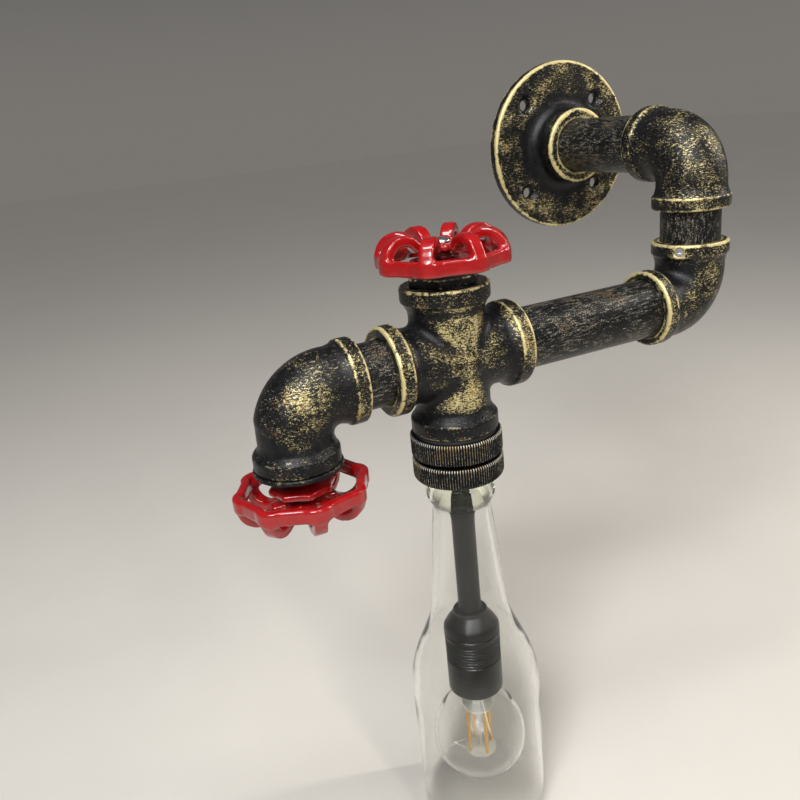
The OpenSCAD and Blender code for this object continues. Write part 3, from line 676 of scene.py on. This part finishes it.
def mark_finish(mesh, node, co, edges, neck, band, reach):
    """Marks a casting's worn edges, painted brighter towards the key light as painted highlight, its
    hollows and where gold was brushed on.
    """
    normals = normals_of(mesh)
    broad = proud(co, edges, normals, BROAD)
    hollow = smoothstep(-broad, -0.02 * MM, 0.2 * MM)
    shade = np.maximum(1.3 * relax(hollow, edges, WIDE), 1.15 * relax(hollow, edges, reach))
    facing = smoothstep(normals @ BRUSHED_SIDE, 0.2, 1.0)
    # Edges that face the key light get more gold: painted highlight on top of the wear
    lit_share = 0.4 + 0.6 * smoothstep(normals @ LIT_SIDE, -0.3, 0.75)
    edge = smoothstep(proud(co, edges, normals, NEAR), 0.05 * MM, 0.14 * MM) * lit_share
    brush = (1 - np.clip(shade, 0, 1)) * (0.4 + 0.6 * facing) * gold_share(node, co, normals)
    # The lower ends of the cross and the end elbow are dark, and the cross's upper end a little
    darkened = node in ("cross_fitting", "end_elbow", "end_plug")
    under = smoothstep(CROSS.z - co[:, 2], 16 * MM, 19 * MM) * darkened
    over = smoothstep(co[:, 2] - CROSS.z, 20 * MM, 24 * MM) * (node == "cross_fitting")
    brush *= 1 - (0.2 if node == "end_elbow" else 0.8) * neck * under
    on_band = (0.6 + 0.4 * facing) * (1 - 0.75 * under) * (1 - 0.3 * over)
    # Edge wear, strongest towards the key light, so partly painted highlight
    wear_and_highlight = np.clip(1.45 * relax(edge, edges, 7), 0, 0.8) * (1 - 0.4 * under) * (1 - 0.3 * over)
    mark(mesh, "wear_and_highlight", wear_and_highlight)
    # How hollow each point is; the enamel darkens its hollows by this as painted shade
    mark(mesh, "hollow", smoothstep(-broad, -0.05 * MM, 0.5 * MM))
    mark(mesh, "brush", np.maximum(np.minimum(brush, 1.5) * (1 - band), band * on_band))


LATHE_TURNS = {
    "X": Matrix.Rotation(math.pi / 2, 4, "Y"),
    "Y": Matrix.Rotation(-math.pi / 2, 4, "X"),
    "Z": Matrix(),
}


def lathe(profile, centre, segments, axis="Z", closed=True):
    """A turned piece: a profile of (radius, height) points swept around an axis."""
    bm = bmesh.new()
    angles = [2 * math.pi * i / segments for i in range(segments)]
    rings = [[bm.verts.new((r * math.cos(a), r * math.sin(a), h)) for a in angles] for r, h in profile]
    for first, second in zip(rings, rings[1:] + (rings[:1] if closed else [])):
        for i in range(segments):
            j = (i + 1) % segments
            bm.faces.new((first[i], first[j], second[j], second[i]))
    bmesh.ops.remove_doubles(bm, verts=bm.verts, dist=0.001 * MM)
    bmesh.ops.recalc_face_normals(bm, faces=bm.faces)
    bm.transform(Matrix.Translation(centre) @ LATHE_TURNS[axis])
    return mesh_from(bm, "turned")


def arc(centre, radius, start, end, steps):
    """Points of a circle's arc, in degrees, for a profile."""
    turns = [math.radians(start + (end - start) * i / steps) for i in range(steps + 1)]
    return [(centre[0] + radius * math.cos(a), centre[1] + radius * math.sin(a)) for a in turns]


def curve_through(points, steps):
    """A smooth curve through points, for a profile."""
    way = [Vector(p) for p in (points[0], *points, points[-1])]
    out = []
    for before, first, second, after in zip(way, way[1:], way[2:], way[3:]):
        bend = 2 * before - 5 * first + 4 * second - after
        twist = 3 * first - before - 3 * second + after
        for k in range(steps):
            t = k / steps
            out.append(tuple(0.5 * (2 * first + (second - before) * t + bend * t * t + twist * t**3)))
    return out + [tuple(points[-1])]


def place(name, mesh, body, slot, finish, *nodes, flat_over=None):
    """Puts a finished mesh in the scene on its body, in place of its nodes."""
    mesh.name = name
    if finish is not None:
        mesh.materials.clear()
        mesh.materials.append(finish_named(finish))
    mesh.polygons.foreach_set("use_smooth", np.ones(len(mesh.polygons), bool))
    if flat_over is not None:
        mesh.set_sharp_from_angle(angle=math.radians(flat_over))
    piece = put(name, mesh)
    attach(piece, body)
    if nodes:
        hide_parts(*nodes)


def dress(finish, *nodes):
    """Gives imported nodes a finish."""
    for node in nodes:
        data = NODES[node].data
        data.materials.clear()
        data.materials.append(finish_named(finish))


def node_modifier(mesh, tree, values):
    """A mesh after a tree of geometry nodes, with the tree's inputs set by their identifiers."""
    thing = put("work", mesh)
    made = thing.modifiers.new("nodes", "NODES")
    made.node_group = tree
    for item in tree.interface.items_tree:
        if item.item_type == "SOCKET" and item.in_out == "INPUT" and item.name in values:
            made[item.identifier] = values[item.name]
    thing.update_tag()
    return applied(thing)


def geometry_tree(name, sockets):
    """A new tree with a geometry input and output and named inputs; returns it and its input wires."""
    tree = bpy.data.node_groups.new(name, "GeometryNodeTree")
    tree.interface.new_socket("Geometry", in_out="INPUT", socket_type="NodeSocketGeometry")
    for socket, kind in sockets:
        tree.interface.new_socket(socket, in_out="INPUT", socket_type="NodeSocket" + kind)
    tree.interface.new_socket("Geometry", in_out="OUTPUT", socket_type="NodeSocketGeometry")
    group = tree.nodes.new("NodeGroupInput")
    return tree, {s.name: Wire(tree, s) for s in group.outputs if s.name}


def close_tree(tree, geometry, material):
    """Ends a tree in real geometry with its material."""
    real = geometry.node("GeometryNodeRealizeInstances", None, {"Geometry": geometry})
    done = real.node("GeometryNodeSetMaterial", None, {"Geometry": real, "Material": material})
    output = tree.nodes.new("NodeGroupOutput")
    tree.links.new(done.socket, output.inputs[0])


RING_SOCKETS = (
    ("Count", "Int"), ("Out", "Float"), ("Radius", "Float"), ("Length", "Float"),
    ("Middle", "Vector"), ("Material", "Material"),
)


def cylinder(inputs, sides, share):
    """A cylinder of a ring's length, with a share of its radius."""
    radius = inputs["Radius"] * share
    return radius.node(
        "GeometryNodeMeshCylinder", None, {"Vertices": sides, "Radius": radius, "Depth": inputs["Length"]}
    )


def close_ring(tree, inputs, shape, aim=None, turn=0.0):
    """Ends a tree in copies of a shape that stand in a ring around its middle."""
    start = inputs["Geometry"]
    round_out = {"Vertices": inputs["Count"], "Radius": inputs["Out"]}
    ring = start.node("GeometryNodeMeshCircle", None, round_out)
    copies = start.node(
        "GeometryNodeInstanceOnPoints", None, {"Points": ring, "Instance": shape, **(aim or {})}
    )
    moved = start.node(
        "GeometryNodeTransform",
        None,
        {"Geometry": copies, "Translation": inputs["Middle"], "Rotation": (0, 0, turn)},
    )
    close_tree(tree, moved, inputs["Material"])


def ring_mesh(tree, *values):
    """The mesh of a ring's tree, with values for its sockets in their order."""
    names = [name for name, kind in RING_SOCKETS]
    return node_modifier(bpy.data.meshes.new("ring"), tree, dict(zip(names, values)))


# Pieces


class WALLLIGHT_OT_castings(bpy.types.Operator):
    """Makes the cast cross, elbows, plugs and wall plate"""

    bl_idname = "walllight.castings"
    bl_label = "Castings"

    def execute(self, context):
        for name in LEGS:
            body = "wall_mount" if name == "wall_elbow" else "arm"
            mesh = cast_mesh(name, settings().iron.voxel, fillet=60, soften=1)
            place(name + "_casting", mesh, body, "fitting_iron", "cast_iron", name)
        for name in ("top_plug", "end_plug"):
            mesh = cast_mesh(name, PLUG_VOXEL, fillet=4, soften=2, reach=20)
            place(name + "_casting", mesh, "arm", "fitting_iron", "plug_iron", name)
        plate = cast_mesh("wall_flange", PLATE_VOXEL, fillet=20, soften=2, reach=60)
        place("wall_flange_casting", plate, "wall_mount", "fitting_iron", "plate_iron", "wall_flange")
        return {"FINISHED"}


class WALLLIGHT_OT_pipes(bpy.types.Operator):
    """Makes the plain lengths of pipe"""

    bl_idname = "walllight.pipes"
    bl_label = "Pipes"

    def execute(self, context):
        for name, axis, body in (
            ("wall_nipple", "Y", "wall_mount"),
            ("arm_pipe", "X", "arm"),
            ("end_nipple", "X", "arm"),
        ):
            low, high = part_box(name)
            along = "XYZ".index(axis)
            across = (along + 1) % 3
            outer = (high[across] - low[across]) / 2
            half = (high[along] - low[along]) / 2
            inner = outer - PIPE_WALL
            edge = PIPE_CHAMFER
            rise = -half + edge
            profile = [(inner, rise), (inner + edge, -half), (outer - edge, -half), (outer, rise)]
            profile += [(r, -h) for r, h in reversed(profile)]
            mesh = lathe(profile, middle(name), 128, axis)
            place(name + "_tube", mesh, body, "pipe_iron", "pipe_iron_" + axis.lower(), name, flat_over=30)
        dress("pipe_iron_z", "swivel_tube")
        return {"FINISHED"}


class WALLLIGHT_OT_handwheels(bpy.types.Operator):
    """Makes the two enamelled handwheels"""

    bl_idname = "walllight.handwheels"
    bl_label = "Handwheels"

    def execute(self, context):
        voxel = settings().enamel.voxel
        for name, body in (("top_handwheel", "top_wheel"), ("end_handwheel", "end_wheel")):
            mesh = cast_mesh(name, voxel, fillet=30, soften=14, reach=10)
            place(name + "_enamelled", mesh, body, "red_enamel", "red_enamel", name)
        return {"FINISHED"}


class WALLLIGHT_OT_knurled_rings(bpy.types.Operator):
    """Makes the two knurled rings with geometry nodes"""

    bl_idname = "walllight.knurled_rings"
    bl_label = "Knurled rings"

    def knurl_tree(self):
        """Sinks the space between ridges into a turned ring."""
        tree, inputs = geometry_tree(
            "knurling",
            (("Ridges", "Int"), ("Depth", "Float"), ("Axis X", "Float"), ("Axis Y", "Float"),
             ("Material", "Material")),
        )
        start = inputs["Geometry"]
        spot = start.node("GeometryNodeInputPosition")
        x = spot.node("ShaderNodeSeparateXYZ", None, {0: spot}, out=0) - inputs["Axis X"]
        y = spot.node("ShaderNodeSeparateXYZ", None, {0: spot}, out=1) - inputs["Axis Y"]
        angle = x.math("ARCTAN2", y, x)
        turn = angle * inputs["Ridges"] / (2 * math.pi)
        wave = x.math("PINGPONG", turn, 0.5) * 2
        bare = start.node("GeometryNodeInputNamedAttribute", {"data_type": "FLOAT"}, {"Name": "knurl"})
        valley = wave.step(0.15, 0.8) * bare
        reach = x.math("SQRT", x * x + y * y)
        drop = valley * inputs["Depth"] / reach
        shift = start.node("ShaderNodeCombineXYZ", None, {0: x * drop * -1, 1: y * drop * -1, 2: 0.0})
        kept = start.node(
            "GeometryNodeStoreNamedAttribute",
            {"data_type": "FLOAT", "domain": "POINT"},
            {"Geometry": start, "Name": "ridge", "Value": (1 - wave.step(0.1, 0.7)) * bare},
        )
        moved = start.node("GeometryNodeSetPosition", None, {"Geometry": kept, "Offset": shift})
        close_tree(tree, moved, inputs["Material"])
        return tree

    def execute(self, context):
        s = settings().knurl
        tree = self.knurl_tree()
        rim = 0.7 * MM
        rows = 10
        for name, body, inner, cut in (
            ("lock_ring", "arm", 16.05 * MM, 1.1 * MM),
            ("clamp_ring", "clamp", 16.06 * MM, 2.2 * MM),
        ):
            foot, head, outer = upright(name)
            half = (head - foot) / 2
            profile = [(inner, half), (outer - 2.2 * rim, half), (outer - rim, half)]
            profile += arc((outer - rim, half - rim), rim, 90, 0, 4)
            top, bottom = half - rim, -half + cut
            profile += [(outer, top + (bottom - top) * i / rows) for i in range(1, rows)]
            profile += arc((outer - cut, bottom), cut, 0, -90, 7)
            if name == "clamp_ring":
                hole = 13.3 * MM
                lip = -half + 2.3 * MM
                profile += [(hole + 0.3 * MM, -half), (hole, -half + 0.3 * MM), (hole, lip), (inner, lip)]
            else:
                profile += [(inner, -half)]
            centre = middle(name)
            mesh = lathe(profile, centre, s.ridges * 6)
            co = points_of(mesh)
            reach = np.hypot(co[:, 0] - centre.x, co[:, 1] - centre.y)
            mark(mesh, "knurl", smoothstep(reach, outer - 1.6 * MM, outer - 0.35 * MM))
            mark(mesh, "tip", smoothstep(co[:, 2], head - 1.5 * MM, head - 0.6 * MM))
            knurled = node_modifier(
                mesh,
                tree,
                {
                    "Ridges": s.ridges,
                    "Depth": s.depth,
                    "Axis X": centre.x,
                    "Axis Y": centre.y,
                    "Material": finish_named("knurled_iron"),
                },
            )
            place(name + "_knurled", knurled, body, "knurled_iron", "knurled_iron", name, flat_over=50)
        dress("knurled_iron", "bottle_adapter")
        dress("rubber", "seal_washer", "mouth_gasket", "grip_ring")
        return {"FINISHED"}


class WALLLIGHT_OT_bottle(bpy.types.Operator):
    """Makes the glass bottle with its cut edge"""

    bl_idname = "walllight.bottle"
    bl_label = "Bottle"

    def execute(self, context):
        def at(radius, below):
            """A profile point from a radius and a depth below the arm's axis, in mm."""
            return (radius * MM, CROSS.z - below * MM)

        foot = (CROSS.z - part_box("bottle_glass")[0].z) / MM
        lip = at(29.2, foot - 1.3)
        outer = [at(9.6, 39.6), at(11.8, 39.6)]
        outer += arc(at(11.8, 40.75), 1.15 * MM, 90, 0, 5)
        outer += [at(12.95, 48.6)] + arc(at(12.1, 48.6), 0.85 * MM, 0, -80, 4)
        outer += [at(12.0, 50.2), at(12.0, 53.2)]
        outer += curve_through([at(*spot) for spot in BOTTLE_COLLAR], 5)
        outer += curve_through([at(*spot) for spot in BOTTLE_SHOULDER], 7)
        outer += [at(30.5, 185), at(30.5, foot - 1.3)] + arc(lip, 1.3 * MM, 0, -90, 5)
        inner = arc(lip, 1.3 * MM, -90, -180, 5)
        inner += curve_through([at(27.9, foot - 3)] + [at(*spot) for spot in BOTTLE_INSIDE], 6)
        inner += [at(9.0, 41)] + arc(at(9.6, 40.2), 0.6 * MM, 180, 90, 3)
        mesh = lathe(outer + inner, LAMP_AXIS, 128)
        place("bottle_turned", mesh, "shade", "clear_glass", "bottle_glass", "bottle_glass")
        return {"FINISHED"}


class WALLLIGHT_OT_lamp(bpy.types.Operator):
    """Makes the lamp tube, sleeve, lampholder and bulb"""

    bl_idname = "walllight.lamp"
    bl_label = "Lamp"

    def threaded_tube(self):
        """The lamp tube with a fine thread."""
        foot, head, outer = upright("lamp_tube")
        pitch = 1.0 * MM
        depth = 0.45 * MM
        segments = 48
        tall = head - foot
        rows = int(tall / (pitch / 6))
        angles = [2 * math.pi * i / segments for i in range(segments)]
        verts = []
        for k in range(rows + 1):
            z = head - tall * k / rows
            for i, a in enumerate(angles):
                wave = abs((((head - z) / pitch + i / segments) % 1.0) - 0.5) * 2
                r = outer - depth * wave
                verts.append((LAMP.x + r * math.cos(a), LAMP.y + r * math.sin(a), z))
        for z in (foot, head):
            for a in angles:
                verts.append((LAMP.x + TUBE_BORE * math.cos(a), LAMP.y + TUBE_BORE * math.sin(a), z))
        starts = [k * segments for k in range(rows + 3)] + [0]
        faces = []
        for first, second in zip(starts, starts[1:]):
            for i in range(segments):
                j = (i + 1) % segments
                faces.append((first + i, first + j, second + j, second + i))
        mesh = bpy.data.meshes.new("threaded")
        mesh.from_pydata(verts, [], faces)
        bm = bmesh.new()
        bm.from_mesh(mesh)
        bmesh.ops.recalc_face_normals(bm, faces=bm.faces)
        bm.to_mesh(mesh)
        bm.free()
        return mesh

    def strip_tree(self):
        """Light strips standing in a ring around the stem."""
        tree, inputs = geometry_tree("light_strips", RING_SOCKETS)
        close_ring(tree, inputs, cylinder(inputs, 12, 1.0))
        return tree

    def turned(self, node, profile, segments, slot, finish, flat_over, closed=True):
        """A turned piece on the lamp's axis in place of its node."""
        mesh = lathe(profile, LAMP_AXIS, segments, closed=closed)
        place(node + "_turned", mesh, "arm", slot, finish, node, flat_over=flat_over)

    def execute(self, context):
        tube = self.threaded_tube()
        place("lamp_tube_threaded", tube, "arm", "black_tube", "black_tube", "lamp_tube", flat_over=60)
        foot, head, lip = upright("tube_sleeve")
        outer = lip - 0.25 * MM
        bore = outer - 0.45 * MM
        sleeve = [(bore, head)] + arc((lip - 0.2 * MM, head - 0.2 * MM), 0.2 * MM, 90, 0, 3)
        sleeve += [(lip, head - 1.1 * MM), (outer, head - 1.7 * MM), (outer, foot), (bore, foot)]
        self.turned("tube_sleeve", sleeve, 64, "black_plastic", "black_sleeve", 40)
        self.lampholder()
        self.bulb()
        return {"FINISHED"}

    def lampholder(self):
        """The lampholder: domed cap, ribbed skirt, core and shell."""
        foot, head, r = upright("lampholder_cap")
        h = head - foot
        dome = [(TUBE_BORE, head), (7.4 * MM, head)] + arc((7.4 * MM, head - 0.5 * MM), 0.5 * MM, 80, 0, 3)
        dome += curve_through(
            [(7.9 * MM, head - 1.6 * MM), (8.9 * MM, head - 2.9 * MM), (10.9 * MM, head - 0.46 * h),
             (12.5 * MM, head - 0.66 * h), (r, foot + 1.5 * MM)],
            5,
        )
        dome += [(r, foot + 0.5 * MM), (r - 0.5 * MM, foot), (TUBE_BORE, foot)]
        self.turned("lampholder_cap", dome, 96, "black_plastic", "black_plastic", 40)
        foot, head, r = upright("lampholder_skirt")
        bore = r - 1.6 * MM
        root = r - 0.35 * MM
        skirt = [(bore, head), (r - 0.4 * MM, head), (r, head - 0.4 * MM)]
        for k in range(8):
            z = head - (3 + 1.5 * k) * MM
            skirt += [(r, z), (root, z - 0.3 * MM), (root, z - 0.7 * MM), (r, z - 1.0 * MM)]
        skirt += [(r, foot + 0.6 * MM), (r - 0.5 * MM, foot)]
        skirt += [(bore + 0.3 * MM, foot), (bore, foot + 0.3 * MM)]
        self.turned("lampholder_skirt", skirt, 96, "black_plastic", "black_plastic", 30)
        dress("ceramic", "lampholder_core")
        dress("brass", "lampholder_shell", "tube_nuts")

    def bulb(self):
        """The bulb: screw cap, glass, stem and light strips."""
        foot, head, r = upright("bulb_cap")
        root = r - 0.6 * MM
        cap = [(0, head), (3.4 * MM, head), (3.5 * MM, head - 0.4 * MM), (root, head - 3.9 * MM)]
        for k in range(4):
            z = head - (4.6 + 2.6 * k) * MM
            cap += [(root, z), (r, z - 0.65 * MM), (r, z - 1.0 * MM), (root, z - 1.65 * MM)]
        cap += [(r - 0.3 * MM, foot + 1.2 * MM), (r - 0.1 * MM, foot), (0, foot)]
        self.turned("bulb_cap", cap, 64, "bright_steel", "bright_steel", 40, closed=False)
        foot, head, ball = upright("bulb_glass")
        centre = foot + ball
        wall = 0.9 * MM
        neck = 6.9 * MM
        join = math.radians(40)
        outside = curve_through(
            [(neck, head), (neck + 0.5 * MM, head - 2.2 * MM), (12.2 * MM, head - 7.6 * MM),
             (ball * math.cos(join), centre + ball * math.sin(join))],
            6,
        )
        outside += arc((0, centre), ball, 40, -90, 22)[1:]
        inside = [(max(x - wall, 0), z) for x, z in outside[:18]]
        inside += arc((0, centre), ball - wall, 40, -90, 22)[1:]
        inside[-1] = (0, inside[-1][1])
        outside[-1] = (0, outside[-1][1])
        glass = lathe(outside + inside[::-1], LAMP_AXIS, 96)
        place("bulb_glass_blown", glass, "arm", "clear_glass", "bulb_glass", "bulb_glass")
        foot, head, plate = upright("bulb_strips")
        stem_foot = head - 13 * MM
        stem = [
            (0, head), (3 * MM, head), (2.6 * MM, head - 3 * MM), (2.4 * MM, stem_foot + 2.4 * MM),
            (2.6 * MM, stem_foot + 1.6 * MM), (plate, stem_foot + 1.6 * MM), (plate, stem_foot + 1.0 * MM),
            (0.7 * MM, stem_foot + 0.8 * MM), (0.7 * MM, foot + 1.2 * MM), (plate, foot + 1.0 * MM),
            (plate, foot + 0.4 * MM), (0, foot),
        ]
        stem_mesh = lathe(stem, LAMP_AXIS, 32, closed=False)
        place("bulb_stem_turned", stem_mesh, "arm", "ceramic", "ceramic", flat_over=40)
        strip_length = stem_foot + 0.9 * MM - foot - 1.0 * MM
        centre = (LAMP.x, LAMP.y, foot + 1.0 * MM + strip_length / 2)
        amber = finish_named("amber_strip")
        mesh = ring_mesh(self.strip_tree(), 4, 6 * MM, 0.8 * MM, strip_length, centre, amber)
        place("bulb_strips_ring", mesh, "arm", "light_strip", None, "bulb_strips", flat_over=40)


class WALLLIGHT_OT_fasteners(bpy.types.Operator):
    """Makes the handwheel screws and the swivel's retaining screws"""

    bl_idname = "walllight.fasteners"
    bl_label = "Fasteners"

    def wheel_screw(self, node, up):
        """A domed screw with a cross recess."""
        foot, head, r = upright(node)
        axis = middle(node)
        tall = 2.0 * MM
        seat = head - foot - tall
        dome = [(0, 0), (1.6 * MM, 0), (2.0 * MM, 0.4 * MM), (2.0 * MM, seat), (r - 0.3 * MM, seat)]
        dome += curve_through(
            [(r, seat + 0.35 * MM), (r - 0.25 * MM, seat + 0.8 * MM), (r - 1.2 * MM, seat + 1.45 * MM),
             (r - 2.6 * MM, seat + 1.88 * MM), (0, seat + tall)],
            4,
        )
        mesh = lathe(dome, Vector((0, 0, 0)), 48, closed=False)
        bm = bmesh.new()
        slot = (4.6 * MM, 0.95 * MM, 2.4 * MM)
        for turn in (20, 110):
            made = bmesh.ops.create_cube(bm, size=1.0)["verts"]
            bmesh.ops.scale(bm, vec=slot, verts=made)
            bmesh.ops.rotate(bm, matrix=Matrix.Rotation(math.radians(turn), 3, "Z"), verts=made)
            bmesh.ops.translate(bm, vec=(0, 0, seat + 1.9 * MM), verts=made)
        cutter = put("recess", mesh_from(bm, "recess"))
        mesh = modified(
            mesh, "BOOLEAN", operation="DIFFERENCE", object=cutter, solver="EXACT", use_self=True
        )
        bpy.data.objects.remove(cutter)
        turn = Matrix() if up else Matrix.Rotation(math.pi, 4, "X")
        mesh.transform(Matrix.Translation((axis.x, axis.y, foot if up else head)) @ turn)
        return mesh

    def grub_tree(self):
        """Headless screws pointing inwards around a tube."""
        tree, inputs = geometry_tree("retaining_screws", RING_SOCKETS)
        start = inputs["Geometry"]
        lift = start.node("ShaderNodeCombineXYZ", None, {2: inputs["Length"] * 0.65})
        key = cylinder(inputs, 6, 0.55)
        lifted = start.node("GeometryNodeTransform", None, {"Geometry": key, "Translation": lift})
        screw = tree.nodes.new("GeometryNodeMeshBoolean")
        screw.operation = "DIFFERENCE"
        tree.links.new(cylinder(inputs, 32, 1.0).socket, screw.inputs[0])
        tree.links.new(lifted.socket, screw.inputs[1])
        angle = start.node("GeometryNodeInputIndex") * (2 * math.pi) / inputs["Count"]
        aim = start.node("ShaderNodeCombineXYZ", None, {0: 0.0, 1: math.pi / 2, 2: angle})
        close_ring(tree, inputs, Wire(tree, screw.outputs[0]), {"Rotation": aim}, math.pi / 2)
        return tree

    def execute(self, context):
        for node, body, up in (("top_screw", "top_wheel", True), ("end_screw", "end_wheel", False)):
            screw = self.wheel_screw(node, up)
            place(node + "_headed", screw, body, "bright_steel", "bright_steel", node, flat_over=35)
        low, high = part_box("swivel_screws")
        radius = (high.z - low.z) / 2
        outer = high.y - SWIVEL.y
        inner = 12.25 * MM
        out = (outer + inner) / 2
        centre = (SWIVEL.x, SWIVEL.y, (low.z + high.z) / 2)
        steel = "bright_steel"
        mesh = ring_mesh(self.grub_tree(), 3, out, radius, outer - inner, centre, finish_named(steel))
        place("swivel_screws_set", mesh, "arm", steel, steel, "swivel_screws", flat_over=35)
        dress("bright_steel", "top_spindle", "top_clip", "end_spindle", "end_clip")
        return {"FINISHED"}


class WALLLIGHT_OT_wiring(bpy.types.Operator):
    """Finishes the cable and the terminal block inside the pipes"""

    bl_idname = "walllight.wiring"
    bl_label = "Wiring"

    def execute(self, context):
        dress("cable", "wall_cable", "arm_cable")
        dress("ceramic", "terminal_block")
        return {"FINISHED"}


class WALLLIGHT_OT_stage(bpy.types.Operator):
    """Sets up the floor, the light and the camera"""

    bl_idname = "walllight.stage"
    bl_label = "Stage"

    def lamp(self, name, kind, spot, power, target):
        """A light at a spot, aimed at a target."""
        data = bpy.data.lights.new(name, kind)
        data.energy = power
        lamp = put(name, data)
        lamp.location = spot
        lamp.rotation_euler = (target - Vector(spot)).to_track_quat("-Z", "Y").to_euler()
        return data

    def execute(self, context):
        s = settings().stage
        scene = context.scene
        bm = bmesh.new()
        bmesh.ops.create_grid(bm, x_segments=2, y_segments=2, size=6)
        bm.transform(Matrix.Translation((0, 0, CAD_BOX[0][2] - FLOOR_GAP)))
        data = mesh_from(bm, "floor")
        data.materials.append(plain_finish("floor_paint", tuple(s.floor), 30 * MM, 0.7, 0.0, 0.015, 0.02))
        put("floor", data)
        world = bpy.data.worlds.new("studio")
        world.use_nodes = True
        sky = Wire(world.node_tree)
        ray = sky.node("ShaderNodeTexCoord", out="Generated")
        height = ray.node("ShaderNodeSeparateXYZ", None, {0: ray}, out=2)
        tone = height.step(0.0, 0.4).mix((0.19, 0.18, 0.166, 1), (0.07, 0.07, 0.08, 1))
        world.node_tree.links.new(tone.socket, world.node_tree.nodes["Background"].inputs["Color"])
        scene.world = world
        self.lamp("sun", "SUN", SUN_PLACE, s.sun_strength, Vector()).angle = math.radians(35)
        for name, spot, size, power, tint in LIGHTS:
            data = self.lamp(name, "AREA", spot, s.key_power * power, CROSS)
            data.shape = "RECTANGLE"
            data.size, data.size_y = size
            data.color = tint
        camera = bpy.data.cameras.new("photo_camera")
        camera.sensor_fit = "HORIZONTAL"
        camera.sensor_width = 36.0
        camera.lens = s.focal
        camera.clip_start = 0.01
        forward = CAMERA_FORWARD.normalized()
        up = (CAMERA_UP - forward * CAMERA_UP.dot(forward)).normalized()
        turn = Matrix((forward.cross(up), up, -forward)).transposed().to_4x4()
        scene.camera = put("photo_camera", camera)
        scene.camera.matrix_world = Matrix.Translation(CROSS + CAMERA_PLACE) @ turn
        scene.view_settings.view_transform = "Standard"
        return {"FINISHED"}


STEPS = (
    "stage", "castings", "pipes", "handwheels", "knurled_rings", "bottle", "lamp", "fasteners", "wiring",
)


class WALLLIGHT_PT_panel(bpy.types.Panel):
    """Lists the steps and the settings of the wall light"""

    bl_idname = "WALLLIGHT_PT_panel"
    bl_label = "Wall light"
    bl_space_type = "VIEW_3D"
    bl_region_type = "UI"
    bl_category = "Wall light"

    def draw(self, context):
        s = context.scene.wall_light
        for group in (s.iron, s.enamel, s.knurl, s.glass, s.stage):
            box = self.layout.box()
            for key in group.bl_rna.properties.keys():
                if key not in ("rna_type", "name"):
                    box.prop(group, key)
        for step in STEPS:
            self.layout.operator("walllight." + step)


CLASSES = (
    IronSettings,
    EnamelSettings,
    KnurlSettings,
    GlassSettings,
    StageSettings,
    WallLightSettings,
    WALLLIGHT_OT_stage,
    WALLLIGHT_OT_castings,
    WALLLIGHT_OT_pipes,
    WALLLIGHT_OT_handwheels,
    WALLLIGHT_OT_knurled_rings,
    WALLLIGHT_OT_bottle,
    WALLLIGHT_OT_lamp,
    WALLLIGHT_OT_fasteners,
    WALLLIGHT_OT_wiring,
    WALLLIGHT_PT_panel,
)


def register():
    for cls in CLASSES:
        bpy.utils.register_class(cls)
    bpy.types.Scene.wall_light = PointerProperty(type=WallLightSettings)


def unregister():
    del bpy.types.Scene.wall_light
    for cls in reversed(CLASSES):
        bpy.utils.unregister_class(cls)


def main():
    register()
    for step in STEPS:
        getattr(bpy.ops.walllight, step)()


if __name__ == "__main__":
    main()
